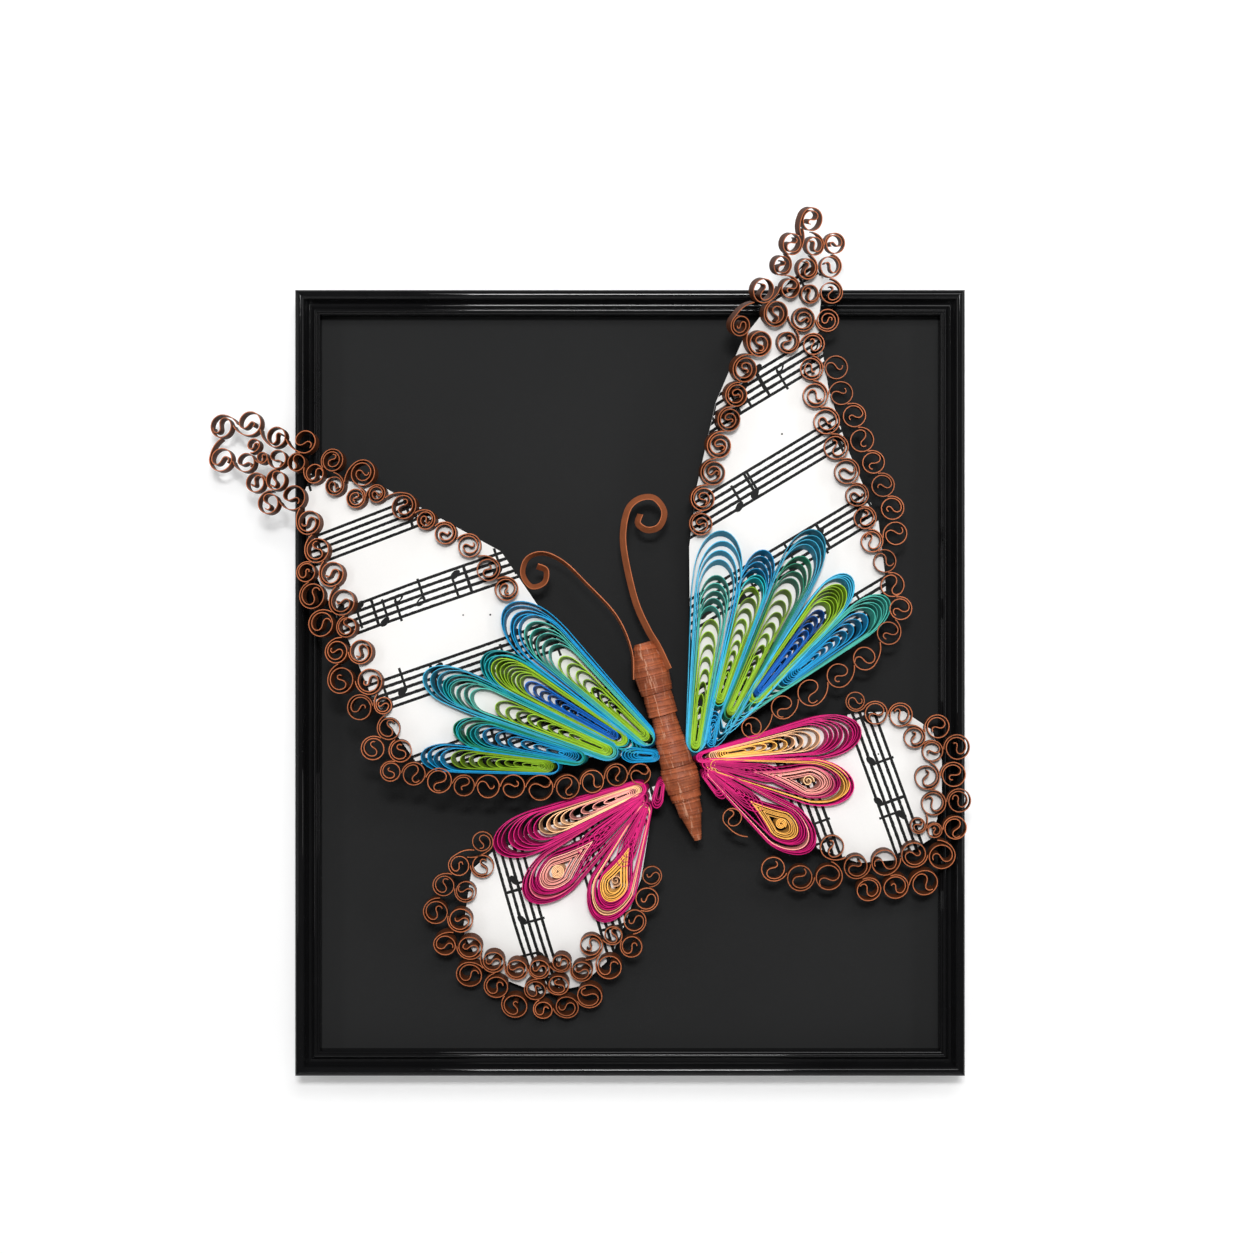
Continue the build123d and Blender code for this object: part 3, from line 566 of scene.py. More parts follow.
class Strips:
    """Strips of paper on edge, gathered into one mesh. A strip's section is a rectangle carried
    along a path: half a thickness to each side of it, and its width towards the viewer."""
    def __init__(self):
        self.corners, self.faces, self.colours, self.marks, self.used = [], [], [], [], 0

    def add(self, path, across, colour, width=strip_width, thickness=scroll_thickness, closed=False):
        across = np.broadcast_to(across, path.shape)
        step = np.roll(path, -1, 0) - np.roll(path, 1, 0)
        if not closed:
            step[0], step[-1] = path[1] - path[0], path[-1] - path[-2]
        side = np.cross(step, across)
        side *= thickness / 2 / np.linalg.norm(side, axis=1)[:, None]
        top = path + across * width
        rings = np.stack([path - side, path + side, top + side, top - side], 1)
        count = len(path)
        i = np.arange(count if closed else count - 1)[:, None] * 4
        j = (i + 4) % (4 * count)
        a, b = np.arange(4), (np.arange(4) + 1) % 4
        quads = np.stack([i + a, j + a, j + b, i + b], -1).reshape(-1, 4)
        if not closed:
            end = 4 * count - 4
            quads = np.concatenate([quads, [[0, 1, 2, 3], [end + 3, end + 2, end + 1, end]]])
        length = np.concatenate([[0], np.cumsum(np.linalg.norm(np.diff(path, axis=0), axis=1))])
        marks = np.stack([np.repeat(length, 4), np.tile([0.0, 0.0, 1.0, 1.0], count)], -1)
        self.corners.append(rings.reshape(-1, 3))
        self.faces.append(quads + self.used)
        self.colours.append(np.tile(np.append(colour, 1.0), (4 * count, 1)))
        self.marks.append(marks)
        self.used += 4 * count

    def piece(self, name, material, node_name, slot):
        corners, faces = np.concatenate(self.corners), np.concatenate(self.faces).tolist()
        mesh = closed_mesh(name, corners, faces, 45, turn=False)
        add_uv(mesh, "strip", np.concatenate(self.marks))
        colours = mesh.color_attributes.new("strip_colour", "FLOAT_COLOR", "POINT")
        colours.data.foreach_set("color", np.concatenate(self.colours).ravel())
        add_piece(name, mesh, material, node_name)


def strip_material(name, wall, edge_highlight, roughness, grain):
    """Coloured paper on edge: its own colour, darker on its sides as painted shade and paler along
    the cut edge that faces the viewer as a painted highlight, with streaks along the strip."""
    material, tree, place = new_material(name)
    uv = node(tree, "UVMap", uv_map="strip").outputs[0]
    colour = node(tree, "Attribute", attribute_name="strip_colour").outputs["Color"]
    # Painted light: the sides take the first factor as painted shade, the top edge the second as a painted
    # highlight
    edge = axes(tree, uv)[1].spread(0.96, 1.0, wall, edge_highlight)
    streaks = noise(tree, uv, (0.35, 9.0, 1.0), 4.0).spread(0.25, 0.75, 0.84, 1.14)
    finish_paper(tree, shaded(tree, colour, edge * streaks), place, 250.0, 4200.0, grain, roughness,
                 0.35, 0.16)
    return material


# The scrolls' brown is kept dark as painted shade for their sides, which get 0.62 of it, and a painted
# highlight makes their top edges 3.5 times as bright
brown_paper = strip_material("copper_brown_strip", 0.62, 3.5, 0.5, 0.5)
copper_brown = np.array([0.135, 0.041, 0.0165])


def scroll_line(radius, reach, angle, hand, turns, hook, slack):
    """A scroll about its own middle. Its distance from the middle falls from the reach to the ring
    over a quarter turn, then closes in, faster after most of a turn. From there the strip bends in
    a half circle to the middle and back the other way in the hook: heading = sum of curvature *
    step. Slack makes the half circle and the hook wider."""
    turned = np.linspace(0, 2 * pi * turns, int(34 * turns) + 8)
    ring = radius - scroll_thickness / 2
    tail = (reach - ring) * np.clip(1 - turned / tail_turn, 0, 1) ** 2
    late = late_closing * np.maximum(turned / (2 * pi) - closing_start, 0)
    distance = ring * (1 - (even_closing * turned / (2 * pi) + late)) + tail
    spiral = distance * np.exp(1j * (angle + hand * turned))
    ring_end = abs(distance[-1])
    heading = np.angle(spiral[-1] - spiral[-2])
    half, back = (0.49 + 0.5 * slack) * ring_end, (0.32 + slack) * ring_end
    lengths = np.array([pi * half * 0.95, 0.25 * radius, radians(hook) * back])
    steps = np.repeat(lengths / hook_steps, hook_steps)
    curvature = hand * np.repeat([1 / half, 0, -1 / back], hook_steps)
    curvature = np.convolve(curvature, np.ones(7) / 7, "same")
    headings = heading + np.cumsum(curvature * steps)
    inner = spiral[-1] + np.cumsum(steps * np.exp(1j * headings))
    line = np.concatenate([spiral, inner])
    return np.stack([line.real, line.imag], -1)


def seat_scrolls(scrolls, wing):
    """Each scroll's radius, cut back where two would run into each other, with the reach of its
    outer end and the angle at which that end meets the nearest of the scrolls laid before it."""
    feet = [wing.foot((x, z)) for x, z, radius in scrolls]
    origins = np.array([foot[0] for foot in feet])
    tops = origins + strip_width * np.array([foot[3] for foot in feet])
    spread = [np.linalg.norm(p[:, None] - p[None], axis=-1) for p in (origins, tops)]
    apart = np.minimum(*spread) - strip_gap
    wanted = np.array([radius for x, z, radius in scrolls])
    fair = apart * wanted[:, None] / (wanted[:, None] + wanted)
    np.fill_diagonal(fair, 99.0)
    radii = np.minimum(wanted, fair.min(1))
    seats = []
    for i, (x, z, radius) in enumerate(scrolls):
        earlier = np.arange(i) if i else np.array([1])
        nearest = earlier[np.argmin(apart[i, earlier] - radii[earlier])]
        reach = min(apart[i, nearest] - radii[nearest], longest_tail * radii[i])
        angle = np.arctan2(scrolls[nearest][1] - z, scrolls[nearest][0] - x)
        seats.append((x, z, radii[i], reach, angle))
    return seats


def scroll_groups(wing_name, rows):
    """One piece for each row: the row's name, which way its scrolls wind, how many turns they
    have, and each one's x, z and radius."""
    wing = wings[wing_name]
    seats = iter(seat_scrolls([scroll for row in rows for scroll in row[3]], wing))
    for row, hand, turns, scrolls in rows:
        name = f"scrolls_{wing_name}_{row}"
        strips = Strips()
        for x, z, radius, reach, angle in islice(seats, len(scrolls)):
            more = turns + rng.uniform(-0.25, 0.15)
            hook, slack = rng.uniform(140, 230), rng.uniform(-0.1, 0.1)
            line = scroll_line(radius, reach, angle, hand, more, hook, slack)
            origin, right, up, normal = wing.foot((x, z), radius)
            path = origin + line[:, :1] * right + line[:, 1:] * up
            strips.add(path, normal, copper_brown * rng.uniform(0.82, 1.22))
        strips.piece(name + "_strips", brown_paper, name, "brown_strip")


scroll_groups("left_forewing", [
    ("tip", 1, 1.1, [(-139.1, 99.3, 3.9), (-129.8, 100.0, 4.1), (-121.0, 95.5, 3.5), (-111.4, 93.7, 4.0),
        (-139.1, 88.7, 4.1), (-130.8, 87.5, 3.2), (-128.3, 93.0, 2.2), (-125.4, 88.9, 2.0),
        (-120.4, 88.4, 3.2), (-114.0, 87.2, 3.2), (-120.7, 81.7, 3.4), (-127.4, 81.0, 3.3),
        (-123.0, 74.4, 3.6), (-114.8, 76.0, 4.1), (-108.1, 83.5, 3.6)]),
    ("top", -1, 1.9, [(-102.3, 87.6, 4.2), (-101.4, 79.6, 3.3), (-92.5, 83.4, 4.4), (-94.5, 75.6, 3.3),
        (-87.8, 76.8, 3.0), (-79.1, 72.8, 4.3), (-72.0, 68.4, 3.2), (-66.2, 64.4, 3.6), (-59.1, 60.7, 3.8),
        (-53.6, 53.6, 3.8), (-48.2, 47.6, 3.8)]),
    ("side", 1, 1.6, [(-109.7, 68.1, 4.1), (-106.8, 59.3, 4.2), (-110.2, 52.4, 3.3), (-101.9, 51.8, 4.2),
        (-108.1, 45.0, 4.3), (-98.4, 43.0, 4.4), (-105.0, 36.3, 4.3), (-96.8, 35.2, 3.4),
        (-99.9, 27.6, 3.9), (-92.2, 27.6, 4.0), (-98.4, 18.8, 4.4), (-89.6, 18.6, 4.2), (-85.6, 11.4, 2.9),
        (-92.6, 10.6, 4.2), (-84.1, 4.4, 3.7), (-88.9, -1.8, 3.8), (-80.8, -2.4, 3.7),
        (-83.9, -8.8, 3.3)]),
    ("bottom", -1, 1.15, [(-76.9, -9.6, 3.8), (-69.2, -11.8, 4.1), (-61.6, -13.4, 3.5),
        (-54.2, -13.8, 3.8), (-46.4, -13.8, 3.8), (-38.0, -14.4, 4.2), (-29.6, -14.2, 4.0),
        (-21.8, -12.6, 3.8), (-14.2, -10.6, 3.7), (-6.8, -10.4, 3.5)]),
])
scroll_groups("right_forewing", [
    ("tip", -1, 1.4, [(45.9, 163.4, 3.9), (39.9, 155.7, 3.6), (47.3, 155.6, 3.2), (54.1, 156.4, 3.4),
        (36.8, 149.0, 3.3), (45.1, 148.5, 3.5), (53.0, 149.2, 3.6), (39.6, 142.4, 3.5), (53.6, 141.0, 4.3),
        (31.0, 141.1, 4.1), (46.4, 140.6, 3.6)]),
    ("edge", 1, 2.1, [(23.6, 130.2, 3.5), (35.0, 134.4, 4.4), (44.4, 132.6, 4.0), (52.6, 132.1, 3.8),
        (30.0, 125.0, 4.2), (25.3, 117.0, 4.3), (22.8, 108.9, 3.8), (20.7, 101.2, 3.9), (17.7, 93.0, 4.1),
        (16.0, 84.4, 4.1), (12.9, 76.2, 4.0), (12.6, 68.2, 3.8)]),
    ("inner", -1, 1.7, [(39.6, 125.4, 3.6), (48.2, 124.6, 3.6), (47.6, 116.9, 3.8), (48.8, 108.6, 4.3),
        (52.3, 100.4, 4.3), (55.3, 92.2, 4.1), (58.7, 84.6, 4.2), (61.9, 77.2, 3.8), (64.4, 70.0, 3.7),
        (66.6, 62.6, 3.8)]),
    ("outer", -1, 1.15, [(55.3, 117.2, 3.9), (56.9, 109.1, 4.0), (61.0, 102.1, 3.8), (63.4, 94.4, 3.9),
        (67.0, 87.4, 3.7), (70.0, 80.2, 3.8), (73.0, 73.0, 3.8), (74.0, 65.0, 3.8), (70.6, 56.3, 3.9),
        (73.0, 48.8, 3.9), (75.6, 41.4, 3.7)]),
    ("bottom", -1, 1.05, [(71.9, 33.8, 3.9), (64.4, 25.8, 3.9), (56.2, 20.4, 4.0), (47.4, 15.0, 4.4),
        (38.6, 10.4, 3.9), (28.9, 4.0, 3.5)]),
])
scroll_groups("left_hindwing", [
    ("side", 1, 1.5, [(-55.9, -32.0, 3.5), (-63.3, -39.3, 3.5), (-55.9, -39.6, 3.7), (-68.1, -45.6, 3.7),
        (-61.2, -47.6, 3.6), (-70.6, -53.6, 4.2), (-62.8, -56.2, 4.2), (-67.8, -63.8, 3.9),
        (-59.9, -64.8, 4.3), (-52.6, -69.4, 3.8), (-60.2, -73.6, 4.4)]),
    ("bottom", 1, 1.4, [(-51.8, -77.6, 4.0), (-45.2, -71.8, 3.8), (-46.0, -84.0, 4.2), (-38.0, -71.6, 3.6),
        (-39.4, -78.6, 3.6), (-37.0, -85.2, 3.2), (-32.0, -76.9, 3.5), (-31.0, -69.6, 3.6),
        (-29.4, -84.2, 4.0), (-24.6, -72.2, 4.1), (-22.2, -80.4, 4.3), (-21.6, -64.2, 3.8),
        (-16.0, -70.8, 4.2), (-14.8, -61.2, 3.4), (-9.0, -64.6, 4.0), (-8.0, -56.8, 3.7),
        (-4.2, -50.0, 3.8), (-2.6, -42.6, 3.2)]),
])
scroll_groups("right_hindwing", [
    ("side", -1, 1.5, [(61.4, 12.2, 3.2), (67.8, 8.6, 3.8), (75.6, 8.0, 3.9), (80.0, 1.0, 3.9),
        (87.2, 4.3, 3.9), (85.6, -3.4, 3.8), (93.4, -2.2, 4.3), (84.0, -11.6, 4.1), (92.2, -10.8, 4.1),
        (86.0, -19.8, 4.0), (94.0, -19.0, 3.9), (81.2, -26.8, 2.8), (86.3, -28.2, 2.6),
        (92.7, -27.4, 4.0)]),
    ("bottom", -1, 1.3, [(88.6, -35.9, 4.4), (79.8, -35.6, 4.2), (70.6, -38.0, 4.4), (61.6, -39.4, 4.2),
        (54.2, -33.6, 4.0), (65.6, -46.4, 4.2), (74.2, -45.6, 4.2), (83.3, -44.4, 4.4), (53.0, -42.6, 4.4),
        (44.0, -43.0, 4.3), (35.6, -40.4, 4.0), (22.7, -24.4, 3.2)]),
])


# Petals: strips folded into loop inside loop and pinched together at the root, which fan out
# over the wings from the body. Their colours change from the outer loops to the core.
petal_thickness = 0.25
petal_paper = strip_material("petal_strip", 0.74, 1.5, 0.45, 0.3)
inks = {
    "blue": (0.008, 0.220, 0.440), "deep_blue": (0.004, 0.090, 0.360), "sky": (0.040, 0.330, 0.500),
    "teal": (0.010, 0.300, 0.330), "mint": (0.050, 0.330, 0.270), "deep_green": (0.012, 0.180, 0.100),
    "lime": (0.200, 0.360, 0.016), "magenta": (0.470, 0.010, 0.125), "amber": (0.850, 0.420, 0.090),
    "rose": (0.720, 0.140, 0.210), "pink": (0.840, 0.330, 0.280), "peach": (0.860, 0.470, 0.250)}


def loop_line(start, tip, length, root_half, half):
    """One loop from its start round its tip and back. Its half width grows from the root's to the
    widest at 0.72 of the petal's length, times the round ends: sqrt(1 - (1 - distance / cap)^2)."""
    turned = np.linspace(-pi, pi, 60, endpoint=False)
    x = start + (tip - start) * (1 + np.cos(turned)) / 2
    envelope = np.interp(x, [min(start, -0.01), 0, 0.72 * length], [0.4 * root_half, root_half, half])
    near = np.clip((x - start) / (1.3 * root_half), 0, 1)
    far = np.clip((tip - x) / (1.7 * half), 0, 1)
    ends = np.sqrt(1 - (1 - near) ** 2) * np.sqrt(1 - (1 - far) ** 2)
    return x, np.sign(np.sin(turned)) * envelope * ends


def petal(name, wing, lean, root, tip, root_half, shade_name, bands, coil=None):
    """A band is (colour, loops, first and last tip, first and last width), with first and last
    start where that isn't 0, and tips and starts are shares of the petal's length. The half width
    at the root narrows evenly from the outermost loop to the innermost. A coil is (colour, its
    middle's share, radius, turns). The strips lean towards the tip, so that each loop's inner side
    shows there."""
    reach = np.array(tip) - np.array(root)
    length = np.hypot(*reach)
    origin, right, up, normal = wing.foot(root)
    lengthwise = (reach[0] * right + reach[1] * up) / length
    sideways = np.cross(normal, lengthwise)
    total = sum(band[1] for band in bands)
    strips = Strips()

    def lay(x, y, colour, closed):
        leaning = normal + lean * lengthwise
        path = origin + (x - lean * strip_width)[:, None] * lengthwise + y[:, None] * sideways
        shade = np.array(inks[colour]) * rng.uniform(0.62, 1.25)
        strips.add(path, leaning, np.minimum(shade, 0.95), strip_width - rng.uniform(0, 0.3),
                   petal_thickness, closed)

    laid = 0
    for colour, loops, *ends in bands:
        pairs = ends[:2], ends[2:4], ends[4:] or (0, 0)
        for share, wide, begin in zip(*(np.linspace(*pair, loops) for pair in pairs)):
            inner = 1 - laid / (total + 0.6)
            slim = root_half * inner if begin < 0.2 else 0.25
            x, y = loop_line(begin * length, share * length, length, slim, wide / 2)
            if begin >= 0.2:
                y *= np.clip((x / length - begin) / (share - begin) * 1.6, 0, 1)
            y = y + rng.uniform(-0.012, 0.012) * x * (laid > 0)
            lay(x, y, colour, True)
            laid += 1
    if coil:
        colour, share, radius, turns = coil
        turned = np.linspace(0, 2 * pi * turns, int(28 * turns))
        spiral = np.linspace(radius, 0.35, len(turned)) * np.exp(1j * turned)
        lay(share * length + spiral.real, spiral.imag, colour, False)
    strips.piece(name + "_loops", petal_paper, name, shade_name + "_strip")


def petals(wing_name, lean, rows):
    """A row is (root, tip, half width at the root, a colour's name that is not used, bands), and a coil if
    it has one.
    """
    for number, row in enumerate(rows, 1):
        petal(f"petal_{wing_name}_{number}", wings[wing_name], lean, *row)


petals("left_forewing", 0.5, [
    ((-3, -0.6), (-49, 42.9), 3.1, "blue", [("blue", 2, 1, 0.98, 16, 15),
        ("blue", 3, 0.94, 0.90, 14, 12.6), ("mint", 5, 0.86, 0.70, 11, 8.6),
        ("lime", 8, 0.63, 0.25, 7, 3, 0.03, 0.08)]),
    ((-10.8, -0.6), (-56.3, 27.2), 2.7, "teal", [("teal", 4, 1, 0.95, 12, 10.4, -0.1, 0),
        ("lime", 8, 0.93, 0.74, 9, 6.2, 0.01, 0.04), ("deep_blue", 8, 0.70, 0.35, 4.8, 1.6, 0.07, 0.14)]),
    ((-14, -4.2), (-74.4, 22.1), 3.1, "teal", [("sky", 3, 1, 0.93, 11.5, 10.4),
        ("teal", 3, 0.90, 0.87, 10, 9.4), ("mint", 4, 0.86, 0.76, 8.8, 7.8, 0.01, 0.02),
        ("lime", 9, 0.63, 0.20, 6.4, 2.4, 0.03, 0.08)]),
    ((-24.2, -5.4), (-65.2, 5.4), 2.6, "teal", [("teal", 3, 0.98, 0.95, 10, 9.2),
        ("deep_green", 3, 1, 0.90, 8.8, 8), ("teal", 2, 0.87, 0.84, 7.4, 7, 0.01, 0.02),
        ("blue", 7, 0.78, 0.20, 6, 1.4, 0.05, 0.16)]),
    ((-32.3, -8), (-75.3, -3.5), 2.4, "blue", [("blue", 4, 1, 0.86, 8.4, 7),
        ("lime", 10, 0.78, 0.2, 5.8, 1.4, 0.04, 0.15)]),
    ((-0.8, -4.8), (-12.8, -4), 1.6, "blue", [("blue", 6, 1, 0.6, 4.8, 1.4, 0, 0.19)]),
])
petals("right_forewing", 0.5, [
    ((10.8, -3.7), (19.8, 65.9), 2.8, "blue", [("sky", 4, 1, 0.87, 15, 11),
        ("mint", 5, 0.80, 0.66, 9.4, 8), ("lime", 9, 0.60, 0.15, 7, 2.2, 0.015, 0.05)]),
    ((18, 10.9), (33.2, 59.8), 2.4, "blue", [("blue", 4, 1, 0.88, 9.6, 8.4, -0.24, -0.1),
        ("teal", 2, 0.84, 0.82, 8, 7.6), ("lime", 9, 0.76, 0.22, 6.8, 2.2, 0.02, 0.08)]),
    ((21.3, 6.9), (49.4, 66), 2.8, "teal", [("sky", 4, 1, 0.92, 12.4, 11, -0.15, -0.05),
        ("deep_green", 4, 0.86, 0.74, 9.6, 8.2), ("lime", 9, 0.68, 0.22, 7, 2.2, 0.02, 0.06)]),
    ((28.6, 12.2), (59.8, 51.8), 2.5, "teal", [("sky", 4, 1, 0.96, 10.6, 9.8, -0.25, -0.1),
        ("lime", 7, 0.92, 0.78, 9, 7, 0, 0.03), ("deep_blue", 9, 0.72, 0.3, 4.8, 1.4, 0.05, 0.12)]),
    ((37.5, 17.2), (71.8, 44.6), 2.3, "teal", [("mint", 6, 1, 0.86, 10.6, 9, -0.35, 0),
        ("blue", 9, 0.80, 0.3, 7.4, 1.4, 0.04, 0.19)]),
    ((15.9, -2), (17.3, 9.2), 1.2, "blue", [("blue", 4, 1, 0.65, 3.4, 1.2, 0, 0.19)]),
])
petals("left_hindwing", 0.3, [
    ((-4.6, -14.6), (-52.2, -33.7), 2.6, "magenta", [("magenta", 3, 1, 0.95, 13, 12),
        ("magenta", 6, 0.90, 0.74, 11.4, 9.2, 0, 0.02), ("peach", 4, 0.70, 0.56, 7.6, 6, 0.03, 0.06),
        ("pink", 5, 0.5, 0.2, 5.4, 1.8, 0.07, 0.12)]),
    ((-4.4, -17.2), (-42.2, -49.7), 1.7, "magenta", [("magenta", 4, 1, 0.97, 14.8, 13.4),
        ("rose", 1, 0.95, 0.95, 12.8, 12.8, 0.03, 0.03), ("magenta", 5, 0.93, 0.88, 12.2, 10, 0.05, 0.4),
        ("pink", 5, 0.87, 0.82, 8.8, 5, 0.45, 0.62),
        ("magenta", 7, 0.56, 0.30, 9, 1.4, 0.02, 0.06)], ("peach", 0.74, 2.1, 4)),
    ((-3.9, -19.6), (-19.3, -56.9), 1.7, "magenta", [("magenta", 4, 1, 0.96, 15.4, 14),
        ("peach", 2, 0.94, 0.92, 13, 12.2, 0.03, 0.04), ("magenta", 5, 0.90, 0.84, 11.6, 9.6, 0.06, 0.36),
        ("amber", 6, 0.83, 0.76, 8.8, 4.8, 0.38, 0.56),
        ("magenta", 7, 0.54, 0.30, 9.4, 1.4, 0.02, 0.06)], ("peach", 0.66, 1.9, 1.6)),
    ((0.4, -12.6), (-1.4, -21.4), 1.1, "magenta", [("magenta", 4, 1, 0.7, 3.4, 1.2, 0, 0.19)]),
])
petals("right_hindwing", 0.3, [
    ((11.4, -5.7), (63.2, 3.1), 1.5, "magenta", [("magenta", 4, 1, 0.95, 13.2, 12),
        ("magenta", 5, 0.92, 0.80, 11.4, 9.6, 0, 0.03), ("peach", 4, 0.75, 0.60, 8, 6.4, 0.08, 0.12),
        ("amber", 5, 0.55, 0.3, 5.4, 2, 0.13, 0.19)]),
    ((13.3, -7.2), (60.9, -15.2), 1.5, "magenta", [("magenta", 2, 1, 0.98, 14.6, 14),
        ("amber", 3, 0.97, 0.94, 13.2, 12.2, 0.03, 0.08), ("magenta", 3, 0.91, 0.88, 11, 10, 0.1, 0.3),
        ("rose", 2, 0.87, 0.85, 9.4, 8.8, 0.34, 0.4), ("pink", 5, 0.84, 0.78, 8.2, 4.8, 0.42, 0.58),
        ("magenta", 7, 0.52, 0.28, 8.6, 1.4, 0.02, 0.06)], ("peach", 0.7, 1.9, 1.6)),
    ((14.3, -8.6), (48.2, -34), 1.6, "magenta", [("magenta", 4, 1, 0.96, 14.6, 13.4),
        ("pink", 1, 0.94, 0.94, 12.6, 12.6, 0.03, 0.03), ("magenta", 4, 0.91, 0.86, 11.2, 9.6, 0.08, 0.4),
        ("amber", 5, 0.84, 0.78, 8.2, 4.6, 0.42, 0.58),
        ("magenta", 7, 0.52, 0.28, 8.6, 1.4, 0.02, 0.06)], ("amber", 0.7, 1.7, 3)),
    ((13.5, -10.2), (20.2, -18.2), 1, "magenta", [("magenta", 4, 1, 0.7, 3, 1.2, 0, 0.19)]),
])


# Body: copper-brown strip wound into five tapering rolls, one over the end of the next.
head_spot = (-5.4, 30.6)
body_lean = radians(15.6)
body_height = 11.7
wrap_pitch = 1.15
wrap_height = 0.26
row_step = 0.13
around = 96
end_tuck = 0.3
crease_beside = -20.5
crease_half = 0.36
body_head = pattern_middle + np.array([head_spot[0], -(backing_depth + body_height), head_spot[1]])
down_body = np.array([sin(body_lean), 0, -cos(body_lean)])
beside_body = np.array([cos(body_lean), 0, sin(body_lean)])

wound_paper, tree, place = new_material("wound_brown_strip")
along_body = node(tree, "Mapping", [("Vector", place), ("Rotation", (0, body_lean, 0))]).outputs[0]
creases = noise(tree, along_body, (1500.0, 700.0, 160.0), 5.0, Roughness=0.65)
wander = noise(tree, place, 260.0, 2.0)
off_crease = abs(axes(tree, along_body)[0] - crease_beside * mm + 0.001 - wander * 0.002)
crease = (off_crease < crease_half * mm) * (creases > 0.54)
brown = noise(tree, place, 240.0, 4.0).ramp((0.25, 0.056, 0.019), (0.45, 0.118, 0.042), 0.3, 0.72)
# Painted shade darkens each wrap at its foot, in the crevice beside the next wrap's step; pale creases go
# over it
wraps = Value(tree, node(tree, "Attribute", attribute_name="wrap").outputs["Fac"])
shaded_wraps_and_creases = mixed(tree, creases.spread(0.55, 0.78, 0.0, 1.0) | crease * 0.75,
             shaded(tree, brown, wraps.spread(0.0, 0.4, 0.60, 1.15)), (0.60, 0.30, 0.19, 1))
finish_paper(tree, shaded_wraps_and_creases, place, 300.0, 3000.0, 0.3, 0.5, 0.5, 0.3)


def wound_roll(name, profile):
    """A roll round the body's line: radius = its profile at that distance, plus a saw-tooth of
    one wrap for each pitch, which climbs with the angle as the strip winds. Each wrap stands out
    by a share of its own: the square of the fraction of |sin(its number * 12.9898) * 43758.5453|."""
    profile = np.array(profile, float)
    steps = np.concatenate([[0], np.cumsum(np.abs(np.diff(profile, axis=0)).sum(1))])
    rows = int(steps[-1] / row_step)
    marks = np.linspace(0, steps[-1], rows)
    distance, radius = (np.interp(marks, steps, profile[:, i]) for i in (0, 1))
    angle = np.linspace(0, 2 * pi, around, endpoint=False)
    wound = distance[:, None] / wrap_pitch + 0.35 * np.sin(1.7 * distance[:, None]) + angle / (2 * pi)
    wrap = wound % 1.0
    uneven = np.modf(np.abs(np.sin(np.floor(wound) * 12.9898) * 43758.5453))[0] ** 2
    wrap = wrap * (0.25 + 0.75 * uneven)
    full = radius[:, None] + wrap_height * (wrap ** 1.5 - 0.45)
    full[[0, -1]] -= end_tuck
    spoke = np.cos(angle)[:, None] * beside_body + np.sin(angle)[:, None] * np.array([0, -1, 0])
    skin = body_head + distance[:, None, None] * down_body + full[..., None] * spoke
    ends = body_head + np.outer([profile[0, 0], profile[-1, 0]], down_body)
    i, j = np.arange(around), (np.arange(around) + 1) % around
    ring = (np.arange(rows - 1) * around)[:, None]
    quads = np.stack([ring + i, ring + j, ring + around + j, ring + around + i], -1).reshape(-1, 4)
    pole = np.full(around, rows * around)
    last = (rows - 1) * around
    caps = np.concatenate([np.stack([j, i, pole], -1), np.stack([last + i, last + j, pole + 1], -1)])
    mesh = closed_mesh(name, np.concatenate([skin.reshape(-1, 3), ends]), quads.tolist() + caps.tolist(), 35)
    mesh.attributes.new("wrap", "FLOAT", "POINT").data.foreach_set("value", np.append(wrap.ravel(), [0, 0]))
    add_piece(name + "_winding", mesh, wound_paper, name)


wound_roll("body_thorax", [
    (0, 3.1), (1.3, 3.5), (4.6, 4.6), (8.8, 5.6), (8.8, 5.8), (12.4, 5.5), (16.4, 5.1)])
wound_roll("body_waist", [(16.4, 4.5), (17.2, 4.7), (23.6, 4.8)])
wound_roll("body_upper_abdomen", [
    (23.6, 3.9), (31.0, 4.5), (31.0, 4.7), (36.5, 5.0), (36.5, 5.2), (40.3, 5.3)])
wound_roll("body_lower_abdomen", [(40.3, 5.6), (43.2, 5.9), (46.6, 5.8), (46.6, 5.5), (48.5, 5.4)])
wound_roll("body_tail", [(48.5, 5.0), (51.2, 4.8), (51.2, 4.2), (56.3, 3.8), (56.3, 3.4), (64.6, 1.2)])


# Antennae: two strips from the head, drawn over a tool so that their ends curl. The right one
# is twisted, so that it shows its broad side.
antenna_steps = 160
# The antenna's brown is 2.6 times the scrolls' brown, whose darkness is painted shade; its sides get 0.95 of
# it as painted shade and its top edge a painted highlight
antenna_brown = copper_brown * 2.6
antenna_paper = strip_material("antenna_strip", 0.95, 1.6, 0.5, 0.5)


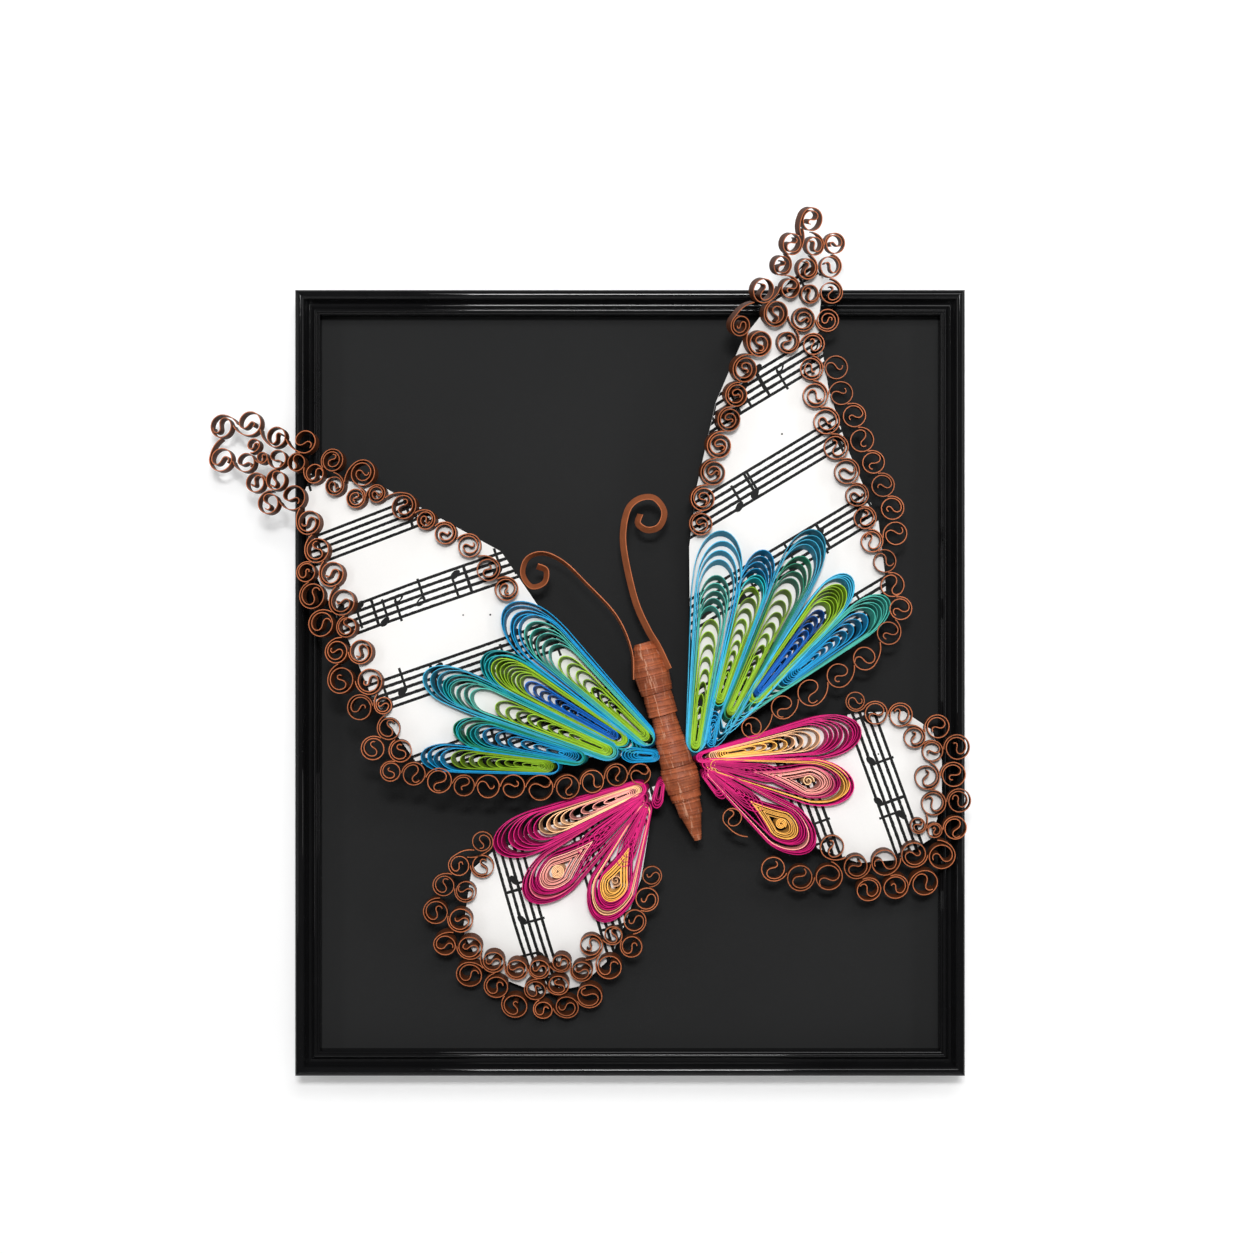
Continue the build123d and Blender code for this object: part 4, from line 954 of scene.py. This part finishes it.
def smooth_line(points, count):
    """A line through the points by the Catmull-Rom rule: each span, from p1 to p2, is 0.5 * (2 p1 +
    (p2 - p0) t + (2 p0 - 5 p1 + 4 p2 - p3) t^2 + (3 p1 - p0 - 3 p2 + p3) t^3)."""
    points = np.array(points, float)
    points = np.concatenate([[2 * points[0] - points[1]], points, [2 * points[-1] - points[-2]]])
    mark = np.linspace(0, len(points) - 3 - 1e-9, count)
    i = mark.astype(int)
    t = (mark - i)[:, None]
    p0, p1, p2, p3 = (points[i + k] for k in range(4))
    return 0.5 * (2 * p1 + (p2 - p0) * t + (2 * p0 - 5 * p1 + 4 * p2 - p3) * t ** 2
                  + (3 * p1 - p0 - 3 * p2 + p3) * t ** 3)


def antenna(name, tilt, root_lift, line):
    """tilt turns the strip's width, in degrees, from straight at the viewer to beside its line.
    The root is lifted off the head, which it lies on, over the first span and a half."""
    flat = smooth_line(line, antenna_steps)
    step = np.gradient(flat, axis=0)
    step /= np.linalg.norm(step, axis=1)[:, None]
    lift = root_lift * np.clip(1 - np.linspace(0, len(line) - 1, antenna_steps) / 1.5, 0, 1)
    middle = pattern_middle + np.stack([flat[:, 0], -(backing_depth + body_height + lift), flat[:, 1]], -1)
    beside = np.stack([step[:, 1], np.zeros(antenna_steps), -step[:, 0]], -1)
    turn = np.radians(np.linspace(*tilt, antenna_steps))[:, None]
    across = np.cos(turn) * np.array([0, -1, 0]) + np.sin(turn) * beside
    strips = Strips()
    strips.add(middle - across * strip_width / 2, across, antenna_brown)
    strips.piece(name + "_strip", antenna_paper, name, "brown_strip")


antenna("antenna_left", (8, 32), 0.0, [
    (-8.5, 19.0), (-9.2, 28.4), (-14.0, 39.2), (-23.9, 49.8), (-30.5, 56.0), (-36.8, 58.8), (-41.8, 57.2),
    (-43.3, 52.4), (-40.6, 48.4), (-36.6, 49.6), (-36.0, 53.4), (-38.8, 54.8)])
antenna("antenna_right", (36, 30), 4.2, [
    (2.6, 22.4), (-0.7, 29.4), (-4.0, 35.0), (-7.8, 43.7), (-10.9, 56.7), (-11.7, 65.1), (-10.1, 72.8),
    (-6.3, 76.2), (-1.7, 76.2), (1.3, 72.0), (-0.2, 67.4), (-4.0, 66.2), (-7.0, 68.2), (-6.3, 71.2)])
